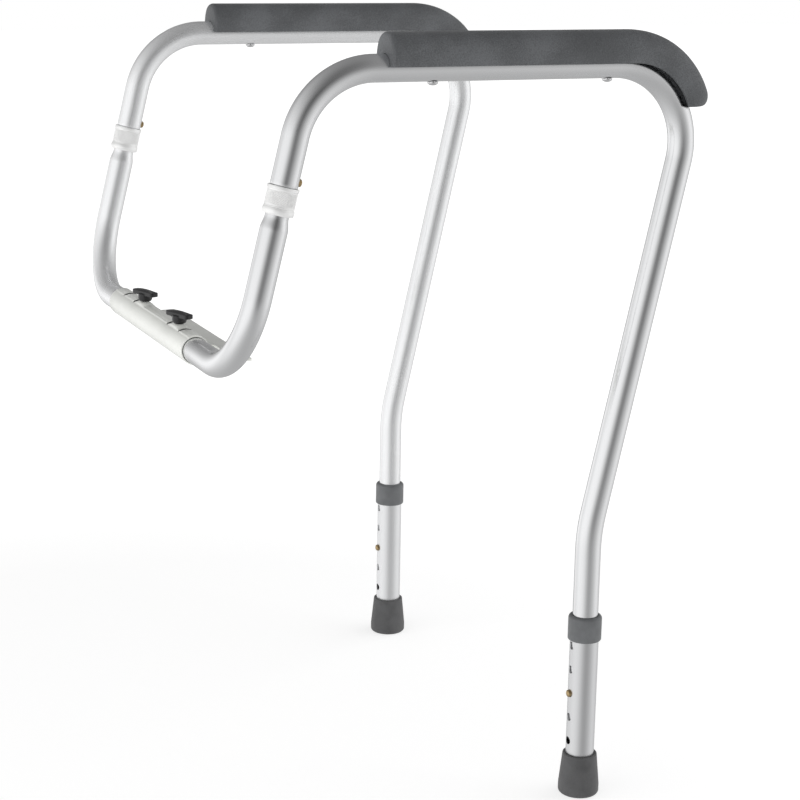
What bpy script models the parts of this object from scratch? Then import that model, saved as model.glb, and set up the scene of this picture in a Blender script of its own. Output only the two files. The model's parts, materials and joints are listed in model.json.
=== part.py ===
"""A toilet safety rail: two bent tube arm frames on a cross bracket that bolts under a toilet seat.

X runs across the rail, the front is -Y and Z points up. The origin is the middle of the bracket
plate's flat underside, midway between its two seat-bolt slots. The frame at -X stands on the
user's right and the one at +X on the user's left. All sizes are in metres.
"""

import math

import bmesh
import bpy
from mathutils import Matrix, Vector

# Tubes
TUBE_OD = 0.0254
TUBE_WALL = 0.0016
SLIDE_GAP = 0.00035
OUTER_TUBE_WALL = 0.00125
PART_GAP = 0.0003

# Side frames, measured from the bracket sleeve's axis
FRAME_SPACING = 0.495
BRACKET_SHIFT = 0.0078
ARM_RISE = 0.273
FLOOR_DROP = 0.4585
LEG_FORWARD = 0.362
FRONT_CORNER_FORWARD = 0.463
REAR_CORNER_FORWARD = 0.066
KNEE_DROP = 0.1815
KNEE_RADIUS = 0.178
BEND_RADIUS = 0.076
LEG_TUBE_FOOT = 0.068
STUB_REACH = 0.233

# Joint between the arm tube and the rear tube, measured down the slant from the rear corner
ARM_TUBE_END = 0.104
NECK_TOP = 0.065
NECK_END = 0.1315
FLARE_LENGTH = 0.012
REAR_BUTTON_PLACE = 0.0985
RING_LENGTH = 0.0257
RING_FLANGE_OD = 0.0290
RING_BAND_OD = 0.0276
RING_TOP_FLANGE = 0.003
RING_LOW_FLANGE = 0.0055
RING_CHAMFER = 0.002

# Lower legs, heights above the floor
LEG_BOTTOM = 0.0096
LEG_TOP = 0.1877
HOLE_TOP = 0.1592
HOLE_PITCH = 0.0254
HOLE_COUNT = 5
BUTTON_HOLE = 2
COLLAR_BOTTOM = 0.165
COLLAR_LIP = 0.0025
COLLAR_OD = 0.0335
COLLAR_ROUND = 0.0034
COLLAR_EDGE = 0.0008
TIP_HEIGHT = 0.043
TIP_TOP_OD = 0.0348
TIP_BASE_OD = 0.0412
TIP_BASE_HEIGHT = 0.010
TIP_BASE_ROUND = 0.0035
TIP_EDGE = 0.0012
TIP_FLOOR = 0.007
WASHER_THICKNESS = 0.002
WASHER_HOLE = 0.008

# Snap buttons and their leaf springs
BUTTON_OD = 0.0073
BUTTON_HOLE_OD = 0.0081
BUTTON_PROUD = 0.0033
BUTTON_FLANGE_OD = 0.0092
BUTTON_FLANGE = 0.0009
SPRING_THICKNESS = 0.0006
SPRING_WIDTH = 0.0066
SPRING_SEAT = 0.005
SPRING_REACH = 0.021
SPRING_TURN_RADIUS = 0.0022

# Arm pads
PAD_WIDTH = 0.043
PAD_CROWN = 0.0320
PAD_SKIRT = 0.0022
PAD_LIP = 0.004
PAD_REAR_FORWARD = 0.136
PAD_NOSE_ABOVE = 0.2335
PAD_BEND_FORWARD = 0.013
PAD_BEND_RAISE = 0.017
PAD_END_WALL = 0.006
PAD_NOSE_DROP = 0.0106
PAD_NOSE_LENGTH = 0.016
PAD_REAR_ROUND = 0.005
PAD_DRAW_IN = 0.0012

# Pad screws, places forward of the sleeve's axis
PAD_SCREW_PLACES = {"front": 0.361, "rear": 0.183}
SCREW_OD = 0.005
SCREW_HOLE_OD = 0.0058
SCREW_HEAD_OD = 0.0100
SCREW_HEAD_HEIGHT = 0.0032
PAD_NUT_OD = 0.0110
PAD_NUT_HEIGHT = 0.0055
SCREW_PAST_NUT = 0.0010

# Bracket
SLEEVE_LENGTH = 0.254
PLATE_THICKNESS = 0.0025
PLATE_REACH = 0.0576
PLATE_CORNER = 0.003
BOLT_LINE = 0.036
SLOT_SPACING = 0.140
SLOT_LENGTH = 0.030
SLOT_WIDTH = 0.0105
OUTER_SLIT_INSET = 0.0319
SLIT_PITCH = 0.0366
OUTER_SLIT_WIDTH = 0.0012
INNER_SLIT_WIDTH = 0.0022
SLIT_DEPTH = 0.0008
SLIT_OVERHANG = 0.0002
BAND_HALF_WIDTH = 0.0072
BAND_LIFT = 0.0005
BAND_CROWN = 0.0016
BAND_TAPER = 0.0006
BAND_STEPS = 8
BOSS_RISE = 0.0018
BOSS_FLAT = 0.0124
BOSS_FALL = 0.0108
BOSS_ROUNDING = 6
BOSS_STEPS = 5

# Clamp screws: a square nut under the band's boss, a stud and a wing knob
STUD_OD = 0.0059
STUD_HOLE_OD = 0.0065
NUT_WIDTH = 0.010
NUT_THICKNESS = 0.0016
KNOB_LIFT = 0.0004
HUB_FOOT_OD = 0.0124
HUB_OD = 0.0144
HUB_FLARE = 0.0022
HUB_HEIGHT = 0.0054
WING_LENGTH = 0.0355
WING_WIDTH = 0.0094
WING_THICKNESS = 0.0050
WING_CROWN = 0.0017
WING_RISE = 0.0007
WING_BEVEL = 0.0008
WING_CORNER = 0.0030
WING_SHOULDER = 0.3
WING_STEPS = 6
WING_END_INSETS = (0.5, 0.13, 0)
KNOB_TURN = math.radians(18)
STUD_IN_KNOB = 0.006

# End plugs
PLUG_FLANGE = 0.0022
PLUG_LENGTH = 0.015

# Fineness of the meshes
TUBE_SIDES = 20
BORE_SIDES = 24
SMALL_SIDES = 12
BEND_STEP = math.radians(11)

# Sizes that follow
TUBE_RADIUS = TUBE_OD / 2
TUBE_BORE = TUBE_RADIUS - TUBE_WALL
SLEEVE_BORE = TUBE_RADIUS + SLIDE_GAP
SLEEVE_RADIUS = SLEEVE_BORE + OUTER_TUBE_WALL
NECK_RADIUS = TUBE_BORE - PART_GAP
NECK_BORE = NECK_RADIUS - TUBE_WALL
AXIS_Y = BOLT_LINE
AXIS_Z = SLEEVE_RADIUS
FLOOR_Z = AXIS_Z - FLOOR_DROP
ARM_Z = AXIS_Z + ARM_RISE
PAD_BEND_RADIUS = BEND_RADIUS - PAD_BEND_RAISE
LEG_Y = AXIS_Y - LEG_FORWARD
BUTTON_Z = FLOOR_Z + HOLE_TOP - BUTTON_HOLE * HOLE_PITCH
BOSS_TOP = SLEEVE_RADIUS + BAND_LIFT + BOSS_RISE
OUTER_SLIT = SLEEVE_LENGTH / 2 - OUTER_SLIT_INSET
INNER_SLIT = OUTER_SLIT - SLIT_PITCH
KNOB_PLACES = {"right": 0.5 * SLIT_PITCH - OUTER_SLIT, "left": OUTER_SLIT - 1.5 * SLIT_PITCH}
SIDES = {"right": -1, "left": 1}

# Colours, roughness and metal value of each finish
TUBE_FINISH = ((0.79, 0.80, 0.81), 0.30, 0.85)
LEG_FINISH = ((0.66, 0.67, 0.68), 0.34, 0.85)
RING_FINISH = ((0.62, 0.63, 0.64), 0.38, 0.85)
COAT_FINISH = ((0.83, 0.84, 0.80), 0.32, 0.0)
PAD_FINISH = ((0.095, 0.10, 0.105), 0.62, 0.0)
KNOB_FINISH = ((0.022, 0.022, 0.024), 0.42, 0.0)
COLLAR_FINISH = ((0.13, 0.135, 0.14), 0.45, 0.0)
RUBBER_FINISH = ((0.10, 0.10, 0.102), 0.70, 0.0)
BRASS_FINISH = ((0.62, 0.45, 0.18), 0.30, 1.0)
STEEL_FINISH = ((0.60, 0.60, 0.60), 0.35, 1.0)
CHROME_FINISH = ((0.85, 0.85, 0.86), 0.12, 1.0)
PLUG_FINISH = ((0.05, 0.05, 0.052), 0.5, 0.0)


def clear_scene():
    for old in list(bpy.data.objects):
        bpy.data.objects.remove(old, do_unlink=True)


def make_material(name, finish):
    colour, roughness, metallic = finish
    material = bpy.data.materials.new(name + "_finish")
    material.use_nodes = True
    shader = material.node_tree.nodes["Principled BSDF"]
    shader.inputs["Base Color"].default_value = (*colour, 1.0)
    shader.inputs["Roughness"].default_value = roughness
    shader.inputs["Metallic"].default_value = metallic
    material.diffuse_color = (*colour, 1.0)
    return material


def add_pivot(name, place):
    """An empty on a joint's axis, which carries the pieces that move with it."""
    pivot = bpy.data.objects.new(name, None)
    pivot.empty_display_size = 0.02
    pivot.location = place
    bpy.context.scene.collection.objects.link(pivot)
    return pivot


def add_object(name, mesh, finish, parent=None):
    """A new object whose mesh was made in place, moved so that its origin is its parent's."""
    obj = bpy.data.objects.new(name, mesh)
    bpy.context.scene.collection.objects.link(obj)
    mesh.materials.append(make_material(name, finish))
    if parent:
        mesh.transform(Matrix.Translation(-parent.location))
        obj.parent = parent
    mesh.shade_smooth()
    mesh.set_sharp_from_angle(angle=math.radians(35))
    return obj


def add_turned(name, mesh, finish, place, axis, parent=None, spin=0.0):
    """A new object made about its own Z axis, then set down at a place and along an axis."""
    obj = bpy.data.objects.new(name, mesh)
    bpy.context.scene.collection.objects.link(obj)
    mesh.materials.append(make_material(name, finish))
    obj.location = place
    if parent:
        obj.parent = parent
        obj.location = place - parent.location
    turn = axis.to_track_quat("Z", "Y").to_matrix() @ Matrix.Rotation(spin, 3, "Z")
    obj.rotation_euler = turn.to_euler()
    mesh.shade_smooth()
    mesh.set_sharp_from_angle(angle=math.radians(35))
    return obj


def finish_mesh(name, shape):
    """A mesh from a bmesh, with its faces pointing out."""
    bmesh.ops.recalc_face_normals(shape, faces=shape.faces)
    mesh = bpy.data.meshes.new(name)
    shape.to_mesh(mesh)
    shape.free()
    return mesh


def loft(name, rings, closed=False):
    """A skin over rings of equal point counts, closed on itself or with flat ends."""
    shape = bmesh.new()
    rows = [[shape.verts.new(point) for point in ring] for ring in rings]
    pairs = list(zip(rows, rows[1:]))
    if closed:
        pairs.append((rows[-1], rows[0]))
    for one, other in pairs:
        for index in range(len(one)):
            after = (index + 1) % len(one)
            shape.faces.new((one[index], one[after], other[after], other[index]))
    if not closed:
        shape.faces.new(rows[0])
        shape.faces.new(rows[-1])
    return finish_mesh(name, shape)


def flat_faced(mesh):
    """The mesh cut into triangles, so that no face is twisted."""
    shape = bmesh.new()
    shape.from_mesh(mesh)
    bmesh.ops.triangulate(shape, faces=shape.faces)
    shape.to_mesh(mesh)
    shape.free()
    return mesh


def turned(name, profile, sides, closed=False):
    """A turned shape about Z from (radius, height) points, a ring where the profile is closed."""
    shape = bmesh.new()
    rows = []
    for radius, height in profile:
        if radius == 0:
            rows.append([shape.verts.new((0, 0, height))])
            continue
        angles = [2 * math.pi * index / sides for index in range(sides)]
        rows.append([shape.verts.new((radius * math.cos(a), radius * math.sin(a), height)) for a in angles])
    pairs = list(zip(rows, rows[1:]))
    if closed:
        pairs.append((rows[-1], rows[0]))
    for one, other in pairs:
        for index in range(sides):
            after = (index + 1) % sides
            if len(one) == 1:
                shape.faces.new((one[0], other[after], other[index]))
            elif len(other) == 1:
                shape.faces.new((one[index], one[after], other[0]))
            else:
                shape.faces.new((one[index], one[after], other[after], other[index]))
    return finish_mesh(name, shape)


def prism(name, outline, height):
    """An outline of (x, y) points, extruded up from z = 0."""
    floor = [Vector((x, y, 0)) for x, y in outline]
    return loft(name, [floor, [point + Vector((0, 0, height)) for point in floor]])


def arc(centre_x, centre_y, radius, start, end, steps):
    """Points (x, y) on an arc between two angles in degrees, both ends included."""
    angles = [math.radians(start + (end - start) * index / steps) for index in range(steps + 1)]
    return [(centre_x + radius * math.cos(a), centre_y + radius * math.sin(a)) for a in angles]


def stadium(length, width, steps):
    """The outline of a bar with round ends, along X."""
    reach = (length - width) / 2
    right = arc(reach, 0, width / 2, -90, 90, steps)
    return right + arc(-reach, 0, width / 2, 90, 270, steps)


def add_cutter(name, pieces):
    """One hidden cutter made of meshes, each moved by its own matrix."""
    shape = bmesh.new()
    for mesh, matrix in pieces:
        mesh.transform(matrix)
        shape.from_mesh(mesh)
        bpy.data.meshes.remove(mesh)
    mesh = bpy.data.meshes.new(name)
    shape.to_mesh(mesh)
    shape.free()
    cutter = bpy.data.objects.new(name, mesh)
    bpy.context.scene.collection.objects.link(cutter)
    cutter.hide_render = True
    cutter.display_type = "WIRE"
    return cutter


def combine(obj, cutter, operation="DIFFERENCE"):
    boolean = obj.modifiers.new(cutter.name, "BOOLEAN")
    boolean.solver = "EXACT"
    boolean.operation = operation
    boolean.object = cutter


def aimed(place, axis):
    """The matrix that sets a shape made about Z at a place and along an axis."""
    return Matrix.Translation(place) @ axis.to_track_quat("Z", "Y").to_matrix().to_4x4()


def rod(name, diameter, length, sides=SMALL_SIDES):
    """A plain round rod about Z, with its middle at the origin."""
    half = length / 2
    return turned(name, [(0, -half), (diameter / 2, -half), (diameter / 2, half), (0, half)], sides)


def block(name, size_x, size_y, low, high):
    """A box about Z between two heights."""
    corners = [(-size_x / 2, -size_y / 2), (size_x / 2, -size_y / 2), (size_x / 2, size_y / 2), (-size_x / 2, size_y / 2)]
    mesh = prism(name, corners, high - low)
    mesh.transform(Matrix.Translation((0, 0, low)))
    return mesh


def rounded_route(corners, radii):
    """Stations (point, direction) along straight runs joined by bends of the given radii."""
    stations = [(corners[0], (corners[1] - corners[0]).normalized())]
    for before, corner, after, radius in zip(corners, corners[1:], corners[2:], radii):
        come = (corner - before).normalized()
        leave = (after - corner).normalized()
        turn = come.angle(leave)
        start = corner - come * radius * math.tan(turn / 2)
        axis = come.cross(leave).normalized()
        centre = start + axis.cross(come) * radius
        steps = math.ceil(turn / BEND_STEP)
        for index in range(steps + 1):
            spin = Matrix.Rotation(turn * index / steps, 3, axis)
            stations.append((centre + spin @ (start - centre), spin @ come))
    stations.append((corners[-1], (corners[-1] - corners[-2]).normalized()))
    return stations


def tube_ring(point, direction, across, radius, sides=TUBE_SIDES):
    """A ring of points round a tube's centre line."""
    up = direction.cross(across)
    angles = [2 * math.pi * index / sides for index in range(sides)]
    return [point + radius * (math.cos(a) * across + math.sin(a) * up) for a in angles]


def tube_mesh(name, stations, across):
    """An open-ended tube over stations (point, direction, outer radius, bore radius)."""
    outside = [tube_ring(point, direction, across, outer) for point, direction, outer, bore in stations]
    inside = [tube_ring(point, direction, across, bore) for point, direction, outer, bore in stations]
    return loft(name, outside + inside[::-1], closed=True)


def frame_x(side):
    """The place of a side frame's plane across the rail."""
    return side * FRAME_SPACING / 2 - BRACKET_SHIFT


def stub_end_x(side):
    return frame_x(side) - side * STUB_REACH


def frame_corner(side, forward, rise):
    """A point in a side frame's plane, from the sleeve's axis."""
    return Vector((frame_x(side), AXIS_Y - forward, AXIS_Z + rise))


def slant(side):
    """The rear corner, the elbow corner and the direction down from one to the other."""
    rear = frame_corner(side, REAR_CORNER_FORWARD, ARM_RISE)
    elbow = frame_corner(side, 0, 0)
    return rear, elbow, (elbow - rear).normalized()


def rear_button_axis(side):
    """The direction square to the slant that faces the front."""
    down = slant(side)[2]
    return down.cross(Vector((1, 0, 0))).normalized()


def rear_button_centre(side):
    rear, elbow, down = slant(side)
    return rear + down * REAR_BUTTON_PLACE


def leg_button_centre(side):
    return Vector((frame_x(side), LEG_Y, BUTTON_Z))


def make_arm_tube(prefix, side, pivot):
    """The front leg tube, knee, front bend, top run and rear bend in one tube."""
    rear, elbow, down = slant(side)
    corners = [
        frame_corner(side, LEG_FORWARD, LEG_TUBE_FOOT - FLOOR_DROP),
        frame_corner(side, LEG_FORWARD, -KNEE_DROP),
        frame_corner(side, FRONT_CORNER_FORWARD, ARM_RISE),
        rear,
        rear + down * ARM_TUBE_END,
    ]
    route = rounded_route(corners, [KNEE_RADIUS, BEND_RADIUS, BEND_RADIUS])
    stations = [(point, direction, TUBE_RADIUS, TUBE_BORE) for point, direction in route]
    mesh = tube_mesh(prefix + "_arm_tube", stations, Vector((1, 0, 0)))
    tube = add_object(prefix + "_arm_tube", mesh, TUBE_FINISH, pivot)
    reach = TUBE_RADIUS + SLEEVE_RADIUS
    facing = rear_button_axis(side)
    back = Vector((0, 1, 0))
    holes = [
        (rod("hole", BUTTON_HOLE_OD, reach), aimed(rear_button_centre(side) + facing * reach / 2, facing)),
        (rod("hole", BUTTON_HOLE_OD, reach), aimed(leg_button_centre(side) + back * reach / 2, back)),
    ]
    for forward in PAD_SCREW_PLACES.values():
        through = Vector((frame_x(side), AXIS_Y - forward, ARM_Z))
        holes.append((rod("hole", SCREW_HOLE_OD, 2 * reach), Matrix.Translation(through)))
    combine(tube, add_cutter(prefix + "_arm_tube_holes", holes))


def make_rear_tube(prefix, side, pivot):
    """The neck, the slanted run, the elbow and the stub that goes into the bracket."""
    rear, elbow, down = slant(side)
    stub_end = Vector((stub_end_x(side), AXIS_Y, AXIS_Z))
    route = rounded_route([rear + down * NECK_TOP, elbow, stub_end], [BEND_RADIUS])
    neck = [
        (rear + down * NECK_TOP, down, NECK_RADIUS, NECK_BORE),
        (rear + down * NECK_END, down, NECK_RADIUS, NECK_BORE),
        (rear + down * (NECK_END + FLARE_LENGTH), down, TUBE_RADIUS, TUBE_BORE),
    ]
    run = [(point, direction, TUBE_RADIUS, TUBE_BORE) for point, direction in route[1:]]
    across = down.cross(Vector((1, 0, 0))).normalized()
    mesh = tube_mesh(prefix + "_rear_tube", neck + run, across)
    tube = add_object(prefix + "_rear_tube", mesh, TUBE_FINISH, pivot)
    facing = rear_button_axis(side)
    reach = 2 * TUBE_RADIUS
    hole = (rod("hole", BUTTON_HOLE_OD, reach), aimed(rear_button_centre(side) + facing * reach / 2, facing))
    combine(tube, add_cutter(prefix + "_rear_tube_hole", [hole]))


def make_lock_ring(prefix, side, pivot):
    """The turning ring on the neck, just under the arm tube's end."""
    rear, elbow, down = slant(side)
    bore = NECK_RADIUS + PART_GAP
    flange = RING_FLANGE_OD / 2
    band = RING_BAND_OD / 2
    step = (flange - band) / 2
    low_flange = RING_LENGTH - RING_CHAMFER - RING_LOW_FLANGE
    profile = [
        (bore, 0),
        (flange, 0),
        (flange, RING_TOP_FLANGE),
        (band, RING_TOP_FLANGE + step),
        (band, low_flange - step),
        (flange, low_flange),
        (flange, RING_LENGTH - RING_CHAMFER),
        (flange - RING_CHAMFER, RING_LENGTH),
        (bore, RING_LENGTH),
    ]
    mesh = turned(prefix + "_lock_ring", profile, BORE_SIDES, closed=True)
    place = rear + down * (ARM_TUBE_END + PART_GAP)
    add_turned(prefix + "_lock_ring", mesh, RING_FINISH, place, down, pivot)


def facet_share(sides):
    """How far a many-sided bore comes in between its corners, as a share of its radius."""
    return math.cos(math.pi / sides)


def flange_top(bore):
    """The height at which a button's flange rests inside a tube's bore."""
    return math.sqrt((bore * facet_share(TUBE_SIDES)) ** 2 - (BUTTON_FLANGE_OD / 2) ** 2) - PART_GAP


def make_button(name, bore, outside, place, axis):
    """A snap button whose flange stays inside the tube, along its own Z from the tube's axis."""
    radius = BUTTON_OD / 2
    top = outside + BUTTON_PROUD
    seat = flange_top(bore)
    dome = BUTTON_PROUD * 0.6
    crown = [(radius * math.cos(a), top - dome + dome * math.sin(a)) for a in map(math.radians, (0, 30, 60))]
    profile = [
        (0, seat - BUTTON_FLANGE),
        (BUTTON_FLANGE_OD / 2, seat - BUTTON_FLANGE),
        (BUTTON_FLANGE_OD / 2, seat),
        (radius, seat),
        *crown,
        (0, top),
    ]
    mesh = turned(name, profile, SMALL_SIDES)
    return add_turned(name, mesh, BRASS_FINISH, place, axis)


def thick_line(points, thickness):
    """The outline of a thin strip along a line of (x, y) points."""
    upper, lower = [], []
    for index, (x, y) in enumerate(points):
        before = points[max(index - 1, 0)]
        after = points[min(index + 1, len(points) - 1)]
        run = Vector((after[0] - before[0], after[1] - before[1])).normalized()
        side = Vector((-run.y, run.x)) * thickness / 2
        upper.append((x + side.x, y + side.y))
        lower.append((x - side.x, y - side.y))
    return upper + lower[::-1]


def make_spring(name, bore, place, along, outward, parent):
    """A folded leaf spring between a button's flange and the far side of the bore."""
    half = SPRING_THICKNESS / 2
    high = flange_top(bore) - BUTTON_FLANGE - PART_GAP - half
    wall = math.sqrt((bore * facet_share(TUBE_SIDES)) ** 2 - (SPRING_WIDTH / 2) ** 2)
    low = -(wall - PART_GAP - half)
    middle = (high + low) / 2
    line = [(-SPRING_SEAT, high), (SPRING_SEAT, high)]
    line += arc(SPRING_REACH, middle, SPRING_TURN_RADIUS, 70, -70, 4)
    line += [(SPRING_SEAT, low), (-SPRING_SEAT, low)]
    mesh = prism(name, thick_line(line, SPRING_THICKNESS), SPRING_WIDTH)
    mesh.transform(Matrix.Translation((0, 0, -SPRING_WIDTH / 2)))
    turn = Matrix((along, outward, along.cross(outward))).transposed().to_4x4()
    mesh.transform(Matrix.Translation(place) @ turn)
    add_object(name, mesh, STEEL_FINISH, parent)


def make_rear_button(prefix, side, pivot):
    facing = rear_button_axis(side)
    place = rear_button_centre(side)
    make_button(prefix + "_rear_button", NECK_BORE, TUBE_RADIUS, place, facing)
    make_spring(prefix + "_rear_button_spring", NECK_BORE, place, slant(side)[2], facing, pivot)


def make_leg_button(prefix, side, pivot):
    place = leg_button_centre(side)
    back = Vector((0, 1, 0))
    make_button(prefix + "_leg_button", TUBE_BORE, SLEEVE_RADIUS, place, back)
    make_spring(prefix + "_leg_button_spring", TUBE_BORE, place, Vector((0, 0, 1)), back, pivot)


def make_lower_leg(prefix, side, slide):
    """The outer leg tube with its column of holes at the back."""
    foot = Vector((frame_x(side), LEG_Y, FLOOR_Z))
    up = Vector((0, 0, 1))
    ends = [foot + up * LEG_BOTTOM, foot + up * LEG_TOP]
    stations = [(point, up, SLEEVE_RADIUS, SLEEVE_BORE) for point in ends]
    mesh = tube_mesh(prefix + "_lower_leg", stations, Vector((1, 0, 0)))
    leg = add_object(prefix + "_lower_leg", mesh, LEG_FINISH, slide)
    reach = 2 * SLEEVE_RADIUS
    holes = []
    for index in range(HOLE_COUNT):
        height = HOLE_TOP - index * HOLE_PITCH
        centre = foot + Vector((0, reach / 2, height))
        holes.append((rod("hole", BUTTON_HOLE_OD, reach), aimed(centre, Vector((0, 1, 0)))))
    combine(leg, add_cutter(prefix + "_lower_leg_holes", holes))


def make_leg_collar(prefix, side, slide):
    """The plastic ring on the lower leg's top, with a lip over its edge."""
    foot = Vector((frame_x(side), LEG_Y, FLOOR_Z))
    outer = COLLAR_OD / 2
    low_bore = SLEEVE_RADIUS + PART_GAP
    lip_bore = SLEEVE_BORE
    lip = LEG_TOP + PART_GAP
    top = lip + COLLAR_LIP
    profile = [
        (low_bore, COLLAR_BOTTOM),
        (outer - COLLAR_EDGE, COLLAR_BOTTOM),
        (outer, COLLAR_BOTTOM + COLLAR_EDGE),
        *arc(outer - COLLAR_ROUND, top - COLLAR_ROUND, COLLAR_ROUND, 0, 90, 5),
        (lip_bore, top),
        (lip_bore, lip),
        (low_bore, lip),
    ]
    mesh = turned(prefix + "_leg_collar", profile, BORE_SIDES, closed=True)
    add_turned(prefix + "_leg_collar", mesh, COLLAR_FINISH, foot, Vector((0, 0, 1)), slide)


def make_rubber_tip(prefix, side, slide):
    """The rubber foot over the lower leg, with a steel washer on its floor."""
    foot = Vector((frame_x(side), LEG_Y, FLOOR_Z))
    bore = SLEEVE_RADIUS + PART_GAP
    base = TIP_BASE_OD / 2
    top = TIP_TOP_OD / 2
    profile = [
        (0, 0),
        *arc(base - TIP_BASE_ROUND, TIP_BASE_ROUND, TIP_BASE_ROUND, -90, 0, 4),
        (base, TIP_BASE_HEIGHT),
        (top, TIP_HEIGHT - TIP_EDGE),
        (top - TIP_EDGE / 2, TIP_HEIGHT),
        (bore, TIP_HEIGHT),
        (bore, TIP_FLOOR),
        (0, TIP_FLOOR),
    ]
    up = Vector((0, 0, 1))
    mesh = turned(prefix + "_rubber_tip", profile, BORE_SIDES)
    add_turned(prefix + "_rubber_tip", mesh, RUBBER_FINISH, foot, up, slide)
    low = TIP_FLOOR + PART_GAP
    high = low + WASHER_THICKNESS
    washer = [(WASHER_HOLE / 2, low), (SLEEVE_RADIUS, low), (SLEEVE_RADIUS, high), (WASHER_HOLE / 2, high)]
    mesh = turned(prefix + "_tip_washer", washer, BORE_SIDES, closed=True)
    add_turned(prefix + "_tip_washer", mesh, STEEL_FINISH, foot, up, slide)


def pad_outline(half_width, crown):
    """The pad's outside from one skirt edge over the crown to the other, as (x, height)."""
    steps = 18
    points = []
    for index in range(steps + 1):
        angle = math.pi * index / steps
        across = abs(math.cos(angle)) ** 0.72
        rise = math.sin(angle) ** 0.80
        draw = PAD_DRAW_IN * (1 - min(1, rise / 0.3)) ** 2
        x = math.copysign((half_width - draw) * across, math.cos(angle))
        points.append((x, PAD_SKIRT + (crown - PAD_SKIRT) * rise))
    return points


def pad_channel(hugging):
    """The pad's hollow from one skirt to the other, wide or hugging the tube."""
    steps = 10
    step_share = math.cos(math.pi / steps / 2)
    roof = (TUBE_RADIUS + PART_GAP) / step_share
    points = []
    for index in range(steps + 1):
        if hugging:
            low = math.asin(PAD_SKIRT / roof)
            angle = low + (math.pi - 2 * low) * index / steps
            points.append((roof * math.cos(angle), roof * math.sin(angle)))
        else:
            angle = math.pi * index / steps
            half = PAD_WIDTH / 2 - PAD_LIP
            x = math.copysign(half * abs(math.cos(angle)) ** 0.4, math.cos(angle))
            points.append((x, PAD_SKIRT + (roof - PAD_SKIRT) * math.sin(angle) ** 0.4))
    return points


def pad_ring(side, place, inset, drop, hugging):
    """One ring of the pad, on the straight run where place is a length, or in the bend by a share."""
    kind, value = place
    outline = pad_outline(PAD_WIDTH / 2 - inset, PAD_CROWN - drop)
    outline += pad_channel(hugging)[::-1]
    centre_y, centre_z = pad_bend_centre(side)
    ring = []
    for x, rise in outline:
        if kind == "run":
            ring.append(Vector((frame_x(side) + x, value, ARM_Z + rise)))
            continue
        radius = PAD_BEND_RADIUS + rise
        nose_height = AXIS_Z + PAD_NOSE_ABOVE - centre_z
        angle = value * math.acos(nose_height / radius)
        y = centre_y - radius * math.sin(angle)
        ring.append(Vector((frame_x(side) + x, y, centre_z + radius * math.cos(angle))))
    return ring


def pad_bend_centre(side):
    """The (y, z) place that the pad bends round, ahead of and above the tube's own bend centre."""
    front = frame_corner(side, FRONT_CORNER_FORWARD, ARM_RISE)
    knee = frame_corner(side, LEG_FORWARD, -KNEE_DROP)
    turn = (knee - front).angle(Vector((0, -1, 0)))
    start = front.y + BEND_RADIUS * math.tan(turn / 2)
    return start - PAD_BEND_FORWARD, ARM_Z - PAD_BEND_RADIUS


def ellipse_drop(size, share):
    """How far a rounded end has fallen away at a share of its length."""
    return size * (1 - math.sqrt(max(0.0, 1 - share * share)))


def make_arm_pad(prefix, side, pivot):
    """The cushion on the arm tube, from its square rear end round to its nose in the front bend."""
    bend_start, centre_z = pad_bend_centre(side)
    rear_end = AXIS_Y - PAD_REAR_FORWARD
    rings = []
    for share in (1.0, 0.86, 0.5, 0.0):
        drop = ellipse_drop(PAD_REAR_ROUND, share)
        place = rear_end - PAD_REAR_ROUND * (1 - share)
        rings.append(pad_ring(side, ("run", place), drop * 0.6, drop, True))
    wall = rear_end - PAD_END_WALL
    rings.append(pad_ring(side, ("run", wall), 0, 0, True))
    rings.append(pad_ring(side, ("run", wall - PAD_LIP / 4), 0, 0, False))
    rings.append(pad_ring(side, ("run", (wall + bend_start) / 2), 0, 0, False))
    nose_radius = PAD_BEND_RADIUS + PAD_CROWN
    nose_turn = math.acos((AXIS_Z + PAD_NOSE_ABOVE - centre_z) / nose_radius)
    nose_share = PAD_NOSE_LENGTH / (nose_turn * nose_radius)
    steps = 7
    for index in range(steps + 1):
        rings.append(pad_ring(side, ("bend", (1 - nose_share) * index / steps), 0, 0, False))
    for share in (0.45, 0.75, 0.93, 1.0):
        drop = ellipse_drop(PAD_NOSE_DROP, share)
        place = 1 - nose_share * (1 - share)
        rings.append(pad_ring(side, ("bend", place), drop * 0.2, drop, False))
    mesh = loft(prefix + "_arm_pad", rings)
    pad = add_object(prefix + "_arm_pad", mesh, PAD_FINISH, pivot)
    pockets = []
    for forward in PAD_SCREW_PLACES.values():
        depth = pad_nut_low() + PAD_NUT_HEIGHT + PART_GAP
        pocket = rod("pocket", PAD_NUT_OD + 2 * PART_GAP, depth)
        centre = Vector((frame_x(side), AXIS_Y - forward, ARM_Z + depth / 2))
        pockets.append((pocket, Matrix.Translation(centre)))
    combine(pad, add_cutter(prefix + "_arm_pad_pockets", pockets))


def pad_nut_low():
    """The underside of a pad nut above the tube's centre, clear of the tube."""
    return TUBE_RADIUS + PART_GAP


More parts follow.
